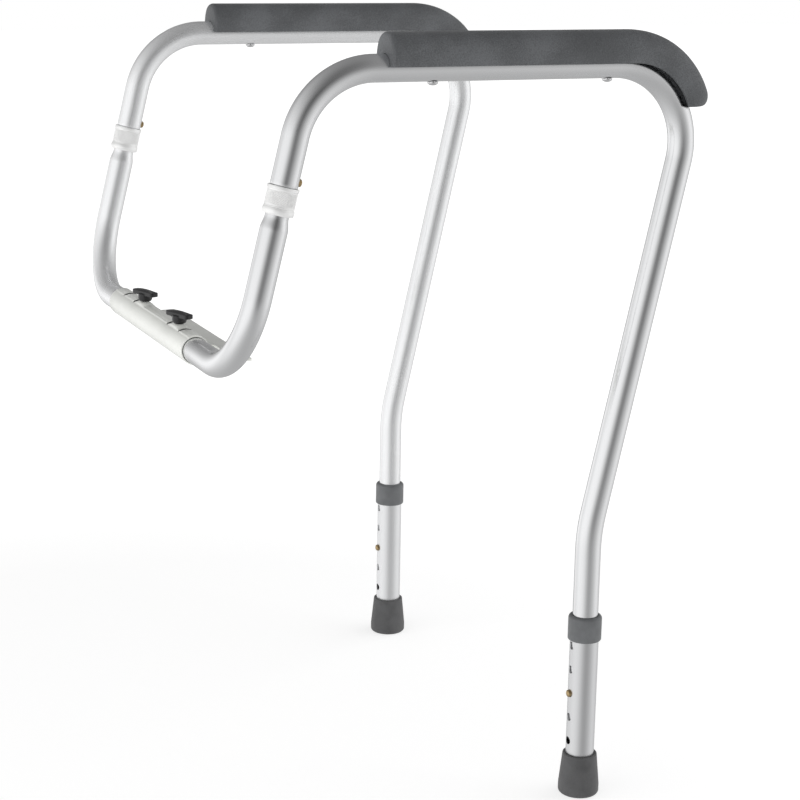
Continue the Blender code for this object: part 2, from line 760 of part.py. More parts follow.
def make_pad_screws(prefix, side, pivot):
    """The screws up through the arm tube and the nuts in the pad that they hold."""
    head = SCREW_HEAD_OD / 2
    shank = SCREW_OD / 2
    seat = -(TUBE_RADIUS + PART_GAP)
    nut_low = pad_nut_low()
    nut_high = nut_low + PAD_NUT_HEIGHT
    tip = nut_high - SCREW_PAST_NUT
    crown = [(head * math.sin(a), seat - SCREW_HEAD_HEIGHT * math.cos(a)) for a in map(math.radians, (30, 55, 75))]
    screw = [(0, seat - SCREW_HEAD_HEIGHT), *crown, (head, seat), (shank, seat), (shank, tip), (0, tip)]
    hole = shank + PART_GAP
    nut = [(hole, nut_low), (PAD_NUT_OD / 2, nut_low), (PAD_NUT_OD / 2, nut_high), (hole, nut_high)]
    up = Vector((0, 0, 1))
    for where, forward in PAD_SCREW_PLACES.items():
        place = Vector((frame_x(side), AXIS_Y - forward, ARM_Z))
        name = prefix + "_pad_screw_" + where
        add_turned(name, turned(name, screw, SMALL_SIDES), CHROME_FINISH, place, up, pivot)
        name = prefix + "_pad_nut_" + where
        add_turned(name, turned(name, nut, SMALL_SIDES, closed=True), BRASS_FINISH, place, up, pivot)


def make_stub_plug(prefix, side):
    """The plastic plug in the stub's open end, which slides along the sleeve."""
    shank = TUBE_BORE - PART_GAP
    flange = TUBE_RADIUS - PART_GAP
    profile = [
        (0, -PLUG_FLANGE),
        (flange, -PLUG_FLANGE),
        (flange, 0),
        (shank, 0),
        (shank, PLUG_LENGTH),
        (0, PLUG_LENGTH),
    ]
    mesh = turned(prefix + "_stub_plug", profile, TUBE_SIDES)
    place = Vector((stub_end_x(side) - side * PART_GAP, AXIS_Y, AXIS_Z))
    add_turned(prefix + "_stub_plug", mesh, PLUG_FINISH, place, Vector((side, 0, 0)))


def boss_rise(x):
    """How far the boss under each knob stands over the band's middle, at a place along the band."""
    near = min(abs(x - place) for place in KNOB_PLACES.values())
    share = min(1.0, max(0.0, (near - BOSS_FLAT / 2) / BOSS_FALL))
    return BOSS_RISE * (1 - share * share * (3 - 2 * share))


def bracket_outline(rise):
    """The sleeve, the low band along its top and the plate, seen from the side, as (y, z) points."""
    edge = math.degrees(math.acos(BAND_HALF_WIDTH / SLEEVE_RADIUS))
    corner = math.degrees(math.asin((SLEEVE_RADIUS - PLATE_THICKNESS) / SLEEVE_RADIUS))
    rear = arc(AXIS_Y, AXIS_Z, SLEEVE_RADIUS, -90, edge, 14)
    fore = arc(AXIS_Y, AXIS_Z, SLEEVE_RADIUS, 180 - edge, 180 + corner, 10)
    band = []
    for index in range(BAND_STEPS + 1):
        share = 1 - 2 * index / BAND_STEPS
        y = share * (BAND_HALF_WIDTH - BAND_TAPER)
        lift = BAND_LIFT - BAND_CROWN * share**2 + rise * (1 - share**BOSS_ROUNDING)
        band.append((AXIS_Y + y, AXIS_Z + SLEEVE_RADIUS + lift))
    front = AXIS_Y - PLATE_REACH
    return [(front, 0), *rear, *band, *fore, (front, PLATE_THICKNESS)]


def sleeve_stations():
    """The places along the sleeve where its section changes, from end to end."""
    stations = [-SLEEVE_LENGTH / 2, SLEEVE_LENGTH / 2]
    for place in KNOB_PLACES.values():
        for index in range(BOSS_STEPS + 1):
            reach = BOSS_FLAT / 2 + BOSS_FALL * index / BOSS_STEPS
            stations += [place - reach, place + reach]
    return sorted(stations)


def make_bracket():
    """The sleeve and its plate, with nut pockets, slits across the band and seat-bolt slots."""
    rings = [[Vector((x, y, z)) for y, z in bracket_outline(boss_rise(x))] for x in sleeve_stations()]
    bracket = add_object("bracket", flat_faced(loft("bracket", rings)), COAT_FINISH)
    to_axis = Matrix.Translation((0, AXIS_Y, AXIS_Z))
    bore = rod("bore", 2 * SLEEVE_BORE, 2 * SLEEVE_LENGTH, BORE_SIDES)
    combine(bracket, add_cutter("bracket_bore", [(bore, to_axis @ Matrix.Rotation(math.pi / 2, 4, "Y"))]))
    pocket_width = NUT_WIDTH + 3 * PART_GAP
    pocket_top = SLEEVE_BORE + NUT_THICKNESS + PART_GAP
    high = 2 * SLEEVE_RADIUS
    pockets, holes = [], []
    for place in KNOB_PLACES.values():
        at = to_axis @ Matrix.Translation((place, 0, 0))
        pockets.append((block("pocket", pocket_width, pocket_width, 0, pocket_top), at))
        holes.append((rod("hole", STUD_HOLE_OD, high), at @ Matrix.Translation((0, 0, high / 2))))
    combine(bracket, add_cutter("bracket_nut_pockets", pockets))
    combine(bracket, add_cutter("bracket_stud_holes", holes))
    slit_half = BAND_HALF_WIDTH + SLIT_OVERHANG
    slit_low = math.sqrt(SLEEVE_BORE**2 - slit_half**2) - SLIT_DEPTH
    slits = []
    for place, width in ((OUTER_SLIT, OUTER_SLIT_WIDTH), (INNER_SLIT, INNER_SLIT_WIDTH)):
        for side in SIDES.values():
            at = to_axis @ Matrix.Translation((side * place, 0, 0))
            slits.append((block("slit", width, 2 * slit_half, slit_low, high), at))
    combine(bracket, add_cutter("bracket_slits", slits))
    slots = []
    for side in SIDES.values():
        slot = prism("slot", stadium(SLOT_LENGTH, SLOT_WIDTH, 6), 3 * PLATE_THICKNESS)
        slots.append((slot, Matrix.Translation((side * SLOT_SPACING / 2, 0, -PLATE_THICKNESS))))
    combine(bracket, add_cutter("bracket_seat_bolt_slots", slots))
    combine(bracket, add_cutter("bracket_corners", corner_cutters()))


def corner_cutters():
    """The pieces that round the plate's two front corners."""
    cutters = []
    reach = PLATE_CORNER * 0.5
    for side in SIDES.values():
        round_off = arc(-PLATE_CORNER, PLATE_CORNER, PLATE_CORNER, -90, 0, 4)
        outline = [(-PLATE_CORNER, -reach), *round_off, (reach, PLATE_CORNER), (reach, -reach)]
        piece = prism("corner", [(side * x, y) for x, y in outline], 3 * PLATE_THICKNESS)
        corner = Vector((side * SLEEVE_LENGTH / 2, AXIS_Y - PLATE_REACH, -PLATE_THICKNESS))
        cutters.append((piece, Matrix.Translation(corner)))
    return cutters


def wing_section(place):
    """The bar's cross section at a place along it, as (y, height over its middle's underside) points."""
    share = min(1.0, abs(place) / (WING_LENGTH / 2))
    half = WING_WIDTH / 2
    inset = WING_LENGTH / 2 - abs(place)
    if inset < WING_CORNER:
        half -= WING_CORNER - math.sqrt(max(0.0, WING_CORNER**2 - (WING_CORNER - inset) ** 2))
    low = WING_RISE * share
    crown = WING_CROWN * (1 - share**2)
    flat = half - WING_BEVEL
    shoulder = WING_THICKNESS + WING_SHOULDER * crown
    return [
        (-flat, low),
        (flat, low),
        (half, low + WING_BEVEL),
        (half, WING_THICKNESS - WING_BEVEL),
        (flat, shoulder),
        (0, WING_THICKNESS + crown),
        (-flat, shoulder),
        (-half, WING_THICKNESS - WING_BEVEL),
        (-half, low + WING_BEVEL),
    ]


def wing_bar(name, low):
    """The knob's bar: rounded ends, a crowned top and an underside that rises to its ends."""
    reach = WING_LENGTH / 2
    inner = reach - WING_CORNER
    places = [inner * index / WING_STEPS for index in range(WING_STEPS + 1)]
    places += [reach - share * WING_CORNER for share in WING_END_INSETS]
    every = [-place for place in places[:0:-1]] + places
    rings = [[Vector((x, y, low + z)) for y, z in wing_section(x)] for x in every]
    return flat_faced(loft(name, rings))


def make_clamp(prefix):
    """The square nut under a boss, the stud through it and the wing knob on the stud."""
    place = Vector((KNOB_PLACES[prefix], AXIS_Y, AXIS_Z))
    at = Matrix.Translation(place)
    nut_low = SLEEVE_BORE
    nut = block(prefix + "_clamp_nut", NUT_WIDTH, NUT_WIDTH, nut_low, nut_low + NUT_THICKNESS)
    nut.transform(at)
    nut_object = add_object(prefix + "_clamp_nut", nut, STEEL_FINISH)
    thread = rod("thread", STUD_OD + 2 * PART_GAP, 4 * SLEEVE_RADIUS)
    combine(nut_object, add_cutter(prefix + "_clamp_nut_hole", [(thread, at)]))

    hub_low = BOSS_TOP + KNOB_LIFT
    stud_top = hub_low + STUD_IN_KNOB
    up = Vector((0, 0, 1))
    radius = STUD_OD / 2
    profile = [(0, SLEEVE_BORE), (radius, SLEEVE_BORE), (radius, stud_top), (0, stud_top)]
    stud = turned(prefix + "_knob_stud", profile, SMALL_SIDES)
    add_turned(prefix + "_knob_stud", stud, STEEL_FINISH, place, up)

    wing_low = hub_low + HUB_HEIGHT
    name = prefix + "_wing_knob"
    knob = add_turned(name, wing_bar(name, wing_low), KNOB_FINISH, place, up, spin=KNOB_TURN)
    hub_top = wing_low + WING_THICKNESS / 2
    hub_profile = [
        (0, hub_low),
        (HUB_FOOT_OD / 2, hub_low),
        (HUB_OD / 2, hub_low + HUB_FLARE),
        (HUB_OD / 2, hub_top),
        (0, hub_top),
    ]
    hub = turned("hub", hub_profile, BORE_SIDES)
    combine(knob, add_cutter(prefix + "_wing_knob_hub", [(hub, at)]), "UNION")
    socket_depth = stud_top + PART_GAP
    socket = rod("socket", STUD_OD + 2 * PART_GAP, socket_depth)
    socket_at = at @ Matrix.Translation((0, 0, socket_depth / 2))
    combine(knob, add_cutter(prefix + "_wing_knob_socket", [(socket, socket_at)]))


def make_side(prefix, side):
    """One arm frame with everything on it."""
    frame = add_pivot(prefix + "_frame_pivot", Vector((frame_x(side), AXIS_Y, AXIS_Z)))
    slide = add_pivot(prefix + "_leg_slide", Vector((frame_x(side), LEG_Y, FLOOR_Z)))
    make_arm_tube(prefix, side, frame)
    make_rear_tube(prefix, side, frame)
    make_lock_ring(prefix, side, None)
    make_rear_button(prefix, side, frame)
    make_leg_button(prefix, side, frame)
    make_lower_leg(prefix, side, slide)
    make_leg_collar(prefix, side, slide)
    make_rubber_tip(prefix, side, slide)
    make_arm_pad(prefix, side, frame)
    make_pad_screws(prefix, side, frame)
    make_stub_plug(prefix, side)


clear_scene()
make_bracket()
for side_name, side_sign in SIDES.items():
    make_side(side_name, side_sign)
    make_clamp(side_name)
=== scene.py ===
"""The toilet safety rail, dressed for its picture: finished metal, cushions, plastic and rubber.

The frame of the scene is the solid model's: metres, Z up, the front at -Y, and the origin in the
middle of the bracket plate's flat underside.
"""

import json
from math import acos, asin, ceil, copysign, cos, exp, pi, radians, sin, sqrt, tan

import bmesh
import bpy
import numpy as np
from mathutils import Matrix, Vector
from mathutils.kdtree import KDTree


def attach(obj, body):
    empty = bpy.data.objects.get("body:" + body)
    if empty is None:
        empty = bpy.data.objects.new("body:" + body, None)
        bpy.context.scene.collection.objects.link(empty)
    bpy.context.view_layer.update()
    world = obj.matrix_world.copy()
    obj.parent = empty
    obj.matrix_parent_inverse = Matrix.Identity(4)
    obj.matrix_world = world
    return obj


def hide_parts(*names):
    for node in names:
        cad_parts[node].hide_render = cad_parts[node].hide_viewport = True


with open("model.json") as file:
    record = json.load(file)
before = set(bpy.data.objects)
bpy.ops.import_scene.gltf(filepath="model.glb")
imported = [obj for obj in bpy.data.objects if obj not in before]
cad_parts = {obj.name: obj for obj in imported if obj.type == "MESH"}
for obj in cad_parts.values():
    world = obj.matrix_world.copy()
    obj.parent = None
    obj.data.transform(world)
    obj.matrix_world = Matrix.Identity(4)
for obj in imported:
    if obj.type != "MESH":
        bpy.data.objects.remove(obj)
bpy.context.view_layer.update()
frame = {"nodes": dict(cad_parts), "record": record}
BODY_OF = {node: body for body, nodes in frame["record"]["behaviour"]["bodies"].items() for node in nodes}

# Tubes
TUBE_RADIUS = 0.0127
TUBE_BORE = 0.0111
SLEEVE_BORE = 0.01305
SLEEVE_RADIUS = 0.0143
PART_GAP = 0.0003
NECK_RADIUS = TUBE_BORE - PART_GAP
NECK_BORE = NECK_RADIUS - 0.0016

# Side frames, measured from the bracket sleeve's axis
FRAME_SPACING = 0.495
BRACKET_SHIFT = 0.0078
AXIS_Y = 0.036
AXIS_Z = SLEEVE_RADIUS
FLOOR_Z = AXIS_Z - 0.4585
ARM_RISE = 0.273
ARM_Z = AXIS_Z + ARM_RISE
LEG_FORWARD = 0.362
LEG_Y = AXIS_Y - LEG_FORWARD
FRONT_CORNER_FORWARD = 0.463
REAR_CORNER_FORWARD = 0.066
KNEE_DROP = 0.1815
KNEE_RADIUS = 0.178
BEND_RADIUS = 0.076
LEG_TUBE_FOOT = 0.068
STUB_REACH = 0.233

# Joint between the arm tube and the rear tube, down the slant from the rear corner
ARM_TUBE_END = 0.104
NECK_TOP = 0.065
NECK_END = 0.1315
FLARE_LENGTH = 0.012
REAR_BUTTON_PLACE = 0.0985
RING_LENGTH = 0.0257
RING_FLANGE_RADIUS = 0.0145
RING_BAND_RADIUS = 0.0138
KNURL_DEPTH = 0.00016
RING_TOP_FLANGE = 0.003
RING_LOW_FLANGE = 0.0075

# Lower legs, heights above the floor
LEG_BOTTOM = 0.0096
LEG_TOP = 0.1877
HOLE_HEIGHTS = [0.1592 - 0.0254 * count for count in range(5)]
BUTTON_HEIGHT = HOLE_HEIGHTS[2]
HOLE_RADIUS = 0.00405
HOLE_MARKS = (-0.008, -0.0062, -0.005, -0.0025, 0, 0.0025, 0.005, 0.0062, 0.008)
COLLAR_BOTTOM = 0.165
COLLAR_TOP = LEG_TOP + PART_GAP + 0.0025
COLLAR_RADIUS = 0.01675
COLLAR_ROUND = 0.0034
TIP_HEIGHT = 0.043
TIP_TOP_RADIUS = 0.0174
TIP_BASE_RADIUS = 0.0206
TIP_BASE_HEIGHT = 0.010
TIP_BASE_ROUND = 0.0035
TIP_FLOOR = 0.007

# Snap buttons
BUTTON_RADIUS = 0.00365
BUTTON_PROUD = 0.0033
BUTTON_DOME = BUTTON_PROUD * 0.62
BUTTON_FLANGE_RADIUS = 0.0046
BUTTON_FLANGE = 0.0009

# Arm pads
PAD_HALF_WIDTH = 0.0215
PAD_CROWN = 0.0320
PAD_SKIRT = 0.0022
PAD_LIP = 0.004
PAD_REAR_END = AXIS_Y - 0.136
PAD_NOSE_ABOVE = 0.2335
PAD_BEND_FORWARD = 0.013
PAD_BEND_RADIUS = BEND_RADIUS - 0.017
PAD_END_WALL = 0.006
PAD_NOSE_DROP = 0.0106
PAD_NOSE_LENGTH = 0.016
PAD_REAR_ROUND = 0.005
PAD_DRAW_IN = 0.0012
PAD_DRAW_SHARE = 0.3
PAD_SIDE_ROUNDING = 0.72
PAD_TOP_ROUNDING = 0.80
PAD_HOLLOW_ROUNDING = 0.4
PAD_SCREW_PLACES = {"front": 0.361, "rear": 0.183}
PAD_NUT_RADIUS = 0.0055
PAD_NUT_HEIGHT = 0.0055
SCREW_RADIUS = 0.0025
SCREW_HOLE_RADIUS = 0.0029
SCREW_HEAD_RADIUS = 0.005
SCREW_HEAD_HEIGHT = 0.0032

# Bracket
SLEEVE_HALF = 0.127
PLATE_THICKNESS = 0.0025
PLATE_FRONT = AXIS_Y - 0.0576
PLATE_CORNER = 0.003
SLOT_PLACE = 0.070
SLOT_LENGTH = 0.030
SLOT_WIDTH = 0.0105
SLITS = {-0.0951: 0.0011, -0.0585: 0.0024, 0.0585: 0.0024, 0.0951: 0.0011}
# The slits' painted shade reaches this far past their walls, and only above this height over the axis
SLIT_SHADE_RIM = 0.0002
SLIT_SHADE_FLOOR = 0.0120
SLIT_DIP = 0.0008
SLIT_DIP_REACH = 0.0045
SLIT_DEPTH = 0.0008
BAND_HALF_WIDTH = 0.0072
BAND_LIFT = 0.0005
BAND_CROWN = 0.0016
BAND_CROWN_REACH = 0.0066
BAND_EDGE = 0.0009
BEAD_HEIGHT = 0.00018
BEAD_PLACE = 0.0060
BEAD_WIDTH = 0.00045
BOSS_RISE = 0.0018
BOSS_FLAT = 0.0124
BOSS_FALL = 0.0108
BOSS_ROUNDING = 6
BOSS_HALF_WIDTH = 0.0067
BOSS_TOP = SLEEVE_RADIUS + BAND_LIFT + BOSS_RISE
NUT_WIDTH = 0.010
NUT_THICKNESS = 0.0016

# Clamp knobs
KNOB_PLACES = {"right": -0.0768, "left": 0.0402}
KNOB_LIFT = 0.0004
STUD_RADIUS = 0.00295
STUD_CORE = 0.001
STUD_HOLE_RADIUS = 0.00325
THREAD_PITCH = 0.001
THREAD_DEPTH = 0.00045
HUB_FOOT_RADIUS = 0.0062
HUB_RADIUS = 0.0072
HUB_FLARE = 0.0022
HUB_HEIGHT = 0.0054
WING_LENGTH = 0.0355
WING_WIDTH = 0.0094
WING_THICKNESS = 0.0050
WING_CROWN = 0.0017
WING_RISE = 0.0007
WING_CORNER = 0.0030
WING_ROLL = 0.0008
KNOB_TURN = radians(18)
STUD_IN_KNOB = 0.006

SIDES = {"right": -1, "left": 1}
ROUND_SIDES = 64
CUT_REACH = 0.03
QUARTER_TURN = [radians(angle) for angle in range(0, 91, 9)]
BEND_STEP = radians(2.5)
UP = Vector((0, 0, 1))
ACROSS = Vector((1, 0, 0))
BACK = Vector((0, 1, 0))


# Shader nodes

def feed(tree, socket, value):
    """Links a socket to another one, or sets it to a value, as a grey where it is a colour."""
    if isinstance(value, bpy.types.NodeSocket):
        tree.links.new(value, socket)
    elif socket.type == "RGBA":
        socket.default_value = (value, value, value, 1)
    else:
        socket.default_value = value


def add_node(tree, kind, inputs=None, **settings):
    """A new node with its settings, its inputs set to values or linked to sockets."""
    node = tree.nodes.new("ShaderNode" + kind)
    for name, value in settings.items():
        setattr(node, name, value)
    for name, value in (inputs or {}).items():
        feed(tree, node.inputs[name], value)
    return node


def calculate(tree, operation, *values):
    """A maths node over numbers and sockets."""
    return add_node(tree, "Math", dict(enumerate(values)), operation=operation).outputs[0]


def colour_ramp(tree, value, stops):
    """A ramp of (place, colour) stops over a value, where a colour that is one number is a grey."""
    ramp = add_node(tree, "ValToRGB", {"Fac": value})
    elements = ramp.color_ramp.elements
    while len(elements) < len(stops):
        elements.new(0.5)
    for element, (place, colour) in zip(elements, stops):
        channels = colour if isinstance(colour, tuple) else (colour, colour, colour)
        element.position = place
        element.color = (*channels, 1)
    return ramp.outputs["Color"]


def either(tree, factor, first, second):
    """The first colour where a factor is 0 and the second where it is 1."""
    return add_node(tree, "Mix", {0: factor, 6: first, 7: second}, data_type="RGBA").outputs[2]


# Camera, light and floor

# The camera's yaw, pitch and roll in degrees, its place, and its focal length in the image's pixels
CAMERA_TURN = (23.67, 13.99, 1.01)
CAMERA_PLACE = (-1.8731, 0.5886, 0.4232)
FOCAL_PIXELS = 1967.14
IMAGE_PIXELS = 800
SENSOR_WIDTH = 36

# The studio as the metal mirrors it: each soft panel's compass direction from +X by way of +Y and
# its height, both in degrees, its brightness and its sharpness. The last two are dark cards.
PANELS = [
    (74, 4, 0.70, 2.9),
    (23, -8, 0.52, 24),
    (123, 5, 0.42, 7),
    (254, 8, 0.70, 3.8),
    (168, 0, -0.18, 14),
    (188, 38, -0.12, 4),
]

# Brightness against height, from 0 straight below to 1 straight above: the room between the panels,
# and the fill that lights everything else
ROOM = [(0.325, 0.43), (0.675, 0.18)]
FILL = [(0.5, 1.22), (0.62, 0.95), (0.8, 0.38), (1.0, 0.08)]

# The floor's own glow for the camera, against the distance from the middle as a share of its reach,
# the grey that takes the shadow, and what the floor throws back on the rail
GLOW_REACH = 3.0
FLOOR_GLOW = [(0.0, 0.66), (0.25, 0.70), (0.6, 1.0)]
FLOOR_SHADE = 0.46
BOUNCE_GLOW = 0.40
BOUNCE_SHADE = 0.85


def make_camera():
    yaw, pitch, roll = map(radians, CAMERA_TURN)
    ahead = Vector((cos(yaw) * cos(pitch), -sin(yaw) * cos(pitch), -sin(pitch)))
    level = ahead.cross(UP).normalized()
    rise = level.cross(ahead)
    right = level * cos(roll) + rise * sin(roll)
    top = rise * cos(roll) - level * sin(roll)
    data = bpy.data.cameras.new("camera")
    data.sensor_width = SENSOR_WIDTH
    data.lens = FOCAL_PIXELS / IMAGE_PIXELS * SENSOR_WIDTH
    data.clip_start = 0.05
    data.clip_end = 60
    camera = new_object("camera", data)
    turn = Matrix((right, top, -ahead)).transposed().to_4x4()
    camera.matrix_world = Matrix.Translation(CAMERA_PLACE) @ turn
    bpy.context.scene.camera = camera


def add_softbox(name, place, towards, width, height, radiance):
    """A flat lamp of a given brightness, which no camera sees and no gloss mirrors."""
    data = bpy.data.lights.new(name, "AREA")
    data.shape = "RECTANGLE"
    data.size = width
    data.size_y = height
    data.energy = radiance * pi * width * height
    lamp = new_object(name, data)
    lamp.location = place
    lamp.rotation_euler = (Vector(towards) - Vector(place)).to_track_quat("-Z", "Y").to_euler()
    lamp.visible_camera = False
    lamp.visible_glossy = False


def add_panel(tree, direction, light, panel):
    """The light so far plus a soft panel's glow round its own direction."""
    compass, height, brightness, sharpness = panel
    turn = radians(compass)
    lift = radians(height)
    spot = (cos(lift) * cos(turn), cos(lift) * sin(turn), sin(lift))
    facing = add_node(tree, "VectorMath", {0: direction, 1: spot}, operation="DOT_PRODUCT")
    fade = calculate(tree, "MULTIPLY_ADD", facing.outputs["Value"], sharpness, -sharpness)
    return calculate(tree, "MULTIPLY_ADD", calculate(tree, "EXPONENT", fade), brightness, light)


def make_world():
    """A white backdrop for the camera, soft panels for the metal to mirror, an even fill for the rest."""
    world = bpy.data.worlds.new("studio")
    bpy.context.scene.world = world
    world.use_nodes = True
    tree = world.node_tree
    path = add_node(tree, "LightPath").outputs
    direction = add_node(tree, "TexCoord").outputs["Generated"]
    parts = add_node(tree, "SeparateXYZ", {0: direction})
    height = calculate(tree, "MULTIPLY_ADD", parts.outputs["Z"], 0.5, 0.5)
    room = colour_ramp(tree, height, ROOM)
    for panel in PANELS:
        room = add_panel(tree, direction, room, panel)
    colour = either(tree, path["Is Glossy Ray"], colour_ramp(tree, height, FILL), room)
    colour = either(tree, path["Is Transmission Ray"], colour, 1.0)
    colour = either(tree, path["Is Camera Ray"], colour, 1.0)
    tree.links.new(colour, tree.nodes["Background"].inputs["Color"])


def glowing_paper(tree, glow, shade):
    """A matt surface of a grey shade that also gives off a glow."""
    light = add_node(tree, "Emission", {"Color": glow})
    paper = add_node(tree, "BsdfDiffuse", {"Color": shade})
    return add_node(tree, "AddShader", {0: light.outputs[0], 1: paper.outputs[0]}).outputs[0]


def make_floor():
    """A pale floor, white to the camera, that keeps the rail's shadow."""
    shape = bmesh.new()
    bmesh.ops.create_grid(shape, x_segments=1, y_segments=1, size=12)
    mesh = bpy.data.meshes.new("floor")
    shape.to_mesh(mesh)
    shape.free()
    floor = new_object("floor", mesh)
    floor.location = (0, 0, FLOOR_Z)
    floor.visible_glossy = False
    material = bpy.data.materials.new("floor_paper")
    material.use_nodes = True
    tree = material.node_tree
    tree.nodes.remove(tree.nodes["Principled BSDF"])
    place = add_node(tree, "NewGeometry").outputs["Position"]
    distance = add_node(tree, "VectorMath", {0: place}, operation="LENGTH").outputs["Value"]
    share = add_node(tree, "MapRange", {"Value": distance, "From Max": GLOW_REACH}).outputs[0]
    shown = glowing_paper(tree, colour_ramp(tree, share, FLOOR_GLOW), FLOOR_SHADE)
    bounce = glowing_paper(tree, BOUNCE_GLOW, BOUNCE_SHADE)
    camera_ray = add_node(tree, "LightPath").outputs["Is Camera Ray"]
    surface = add_node(tree, "MixShader", {0: camera_ray, 1: bounce, 2: shown})
    tree.links.new(surface.outputs[0], tree.nodes["Material Output"].inputs["Surface"])
    mesh.materials.append(material)


# Finishes

class Finish:
    """A material built from noise and cells, with colour, roughness and bump."""

    def __init__(self, name, metallic=0.0, attribute=None, **sockets):
        self.material = bpy.data.materials.new(name)
        self.material.use_nodes = True
        self.tree = self.material.node_tree
        self.shader = self.tree.nodes["Principled BSDF"]
        self.shader.inputs["Metallic"].default_value = metallic
        for socket, value in sockets.items():
            self.shader.inputs[socket.replace("_", " ")].default_value = value
        if attribute:
            self.place = add_node(self.tree, "Attribute", attribute_name=attribute).outputs["Vector"]
        else:
            self.place = add_node(self.tree, "TexCoord").outputs["Object"]

    def calculate(self, operation, *values):
        return calculate(self.tree, operation, *values)

    def stretched(self, *repeats):
        """The place on the surface, times a number of repeats per metre on each axis."""
        inputs = {0: self.place, 1: repeats}
        return add_node(self.tree, "VectorMath", inputs, operation="MULTIPLY").outputs[0]

    def noise(self, scale, detail, place=None):
        inputs = {"Scale": scale, "Detail": detail, "Vector": place or self.place}
        return add_node(self.tree, "TexNoise", inputs).outputs["Fac"]

    def cells(self, scale, smooth=0.0):
        node = add_node(self.tree, "TexVoronoi", {"Scale": scale, "Vector": self.place})
        if smooth:
            node.feature = "SMOOTH_F1"
            node.inputs["Smoothness"].default_value = smooth
        return node.outputs["Distance"]

    def levels(self, value, low, high, start=0.3, end=0.7):
        """The value's range from start to end, spread from low to high."""
        inputs = {"Value": value, "From Min": start, "From Max": end, "To Min": low, "To Max": high}
        return add_node(self.tree, "MapRange", inputs).outputs[0]

    def sum(self, first, second, weight):
        return self.calculate("MULTIPLY_ADD", second, weight, first)

    def colours(self, value, colour, *stops):
        """The base colour, from a ramp of (place, share of a colour) stops."""
        shades = [(place, tuple(channel * share for channel in colour)) for place, share in stops]
        self.tree.links.new(colour_ramp(self.tree, value, shades), self.shader.inputs["Base Color"])

    def roughness(self, value):
        self.tree.links.new(value, self.shader.inputs["Roughness"])

    def bump(self, value, depth, strength=1.0):
        """A bump of a given depth in metres, laid over those before it."""
        inputs = {"Strength": strength, "Distance": depth, "Height": value}
        normal = self.shader.inputs["Normal"]
        if normal.is_linked:
            inputs["Normal"] = normal.links[0].from_socket
        self.tree.links.new(add_node(self.tree, "Bump", inputs).outputs["Normal"], normal)


def drawn_metal(name, colour, roughness, run=None, metallic=1.0):
    """Satin aluminium with faint lengthwise drawing lines, a fine matt grain and handling marks."""
    finish = Finish(name, metallic=metallic, attribute=run)
    depth = 0.000006
    cloud = finish.noise(14, 3)
    grain = finish.noise(2600, 1)
    streak = finish.noise(1, 2, finish.stretched(1500, 1500, 14))
    marks = finish.sum(cloud, streak, 0.7)
    finish.colours(finish.sum(cloud, streak, 0.5), colour, (0.35, 0.955), (0.99, 1))
    finish.roughness(finish.levels(marks, roughness - 0.04, roughness + 0.05, 0.6, 1.1))
    finish.bump(streak, depth)
    finish.bump(grain, depth)
    return finish.material


def cast_metal(name, colour, roughness, grain=2200):
    """Plain plated or milled metal with a fine grain and a little tarnish."""
    finish = Finish(name, metallic=1.0)
    cloud = finish.noise(120, 3)
    finish.colours(cloud, colour, (0.3, 0.80), (0.6, 1))
    finish.roughness(finish.levels(cloud, roughness - 0.04, roughness + 0.08))
    finish.bump(finish.noise(grain, 1), 0.00002)
    return finish.material


def painted_slit_shade_mask(finish):
    """Painted shade: 1 on the walls of the band's saw slits and 0 elsewhere, from the place on the bracket.
    """
    work = finish.calculate
    place = add_node(finish.tree, "SeparateXYZ", {0: finish.place}).outputs
    inside = 0.0
    for slit, width in SLITS.items():
        away = work("ABSOLUTE", work("SUBTRACT", place["X"], slit))
        near = work("LESS_THAN", away, width / 2 + SLIT_SHADE_RIM)
        inside = work("ADD", near, inside)
    aside = work("ABSOLUTE", work("SUBTRACT", place["Y"], AXIS_Y))
    within = work("LESS_THAN", aside, BAND_HALF_WIDTH)
    above = work("GREATER_THAN", place["Z"], AXIS_Z + SLIT_SHADE_FLOOR)
    return work("MULTIPLY", inside, work("MULTIPLY", within, above))


def powder_coat(name, colour):
    """Cream-white powder coat with its orange peel, a faint greying, and saw slits painted near black for
    their shade.
    """
    finish = Finish(name, Coat_Weight=0.6, Coat_Roughness=0.16)
    cloud = finish.noise(30, 3)
    speck = finish.noise(1800, 2)
    finish.colours(finish.sum(cloud, speck, 0.25), colour, (0.40, 0.93), (0.75, 1))
    finish.roughness(finish.levels(cloud, 0.36, 0.46))
    finish.bump(finish.noise(520, 2), 0.00012, 0.35)
    finish.bump(speck, 0.00002)
    # Painted shade: the coat turns near black on the slit walls.
    base = finish.shader.inputs["Base Color"]
    feed(finish.tree, base, either(finish.tree, painted_slit_shade_mask(finish), base.links[0].from_socket, 0.05))
    return finish.material


def moulded_skin(name, colour):
    """The self-skinned foam of the arm pads: pebbled grain cells with pale flecks."""
    finish = Finish(name, Sheen_Weight=0.06, Sheen_Roughness=0.5)
    warp = finish.noise(260, 2)
    pebble = finish.cells(780, 0.35)
    crease = finish.cells(430)
    fleck = finish.noise(1100, 3)
    cloud = finish.noise(22, 2)
    tone = finish.sum(finish.sum(cloud, fleck, 0.9), pebble, -0.35)
    finish.colours(tone, colour, (0.45, 0.78), (0.72, 1), (0.98, 1.45))
    finish.roughness(finish.levels(fleck, 0.50, 0.66))
    finish.bump(finish.sum(pebble, warp, 0.5), 0.00045, 0.6)
    finish.bump(crease, 0.0003, 0.3)
    finish.bump(fleck, 0.00012, 0.5)
    return finish.material


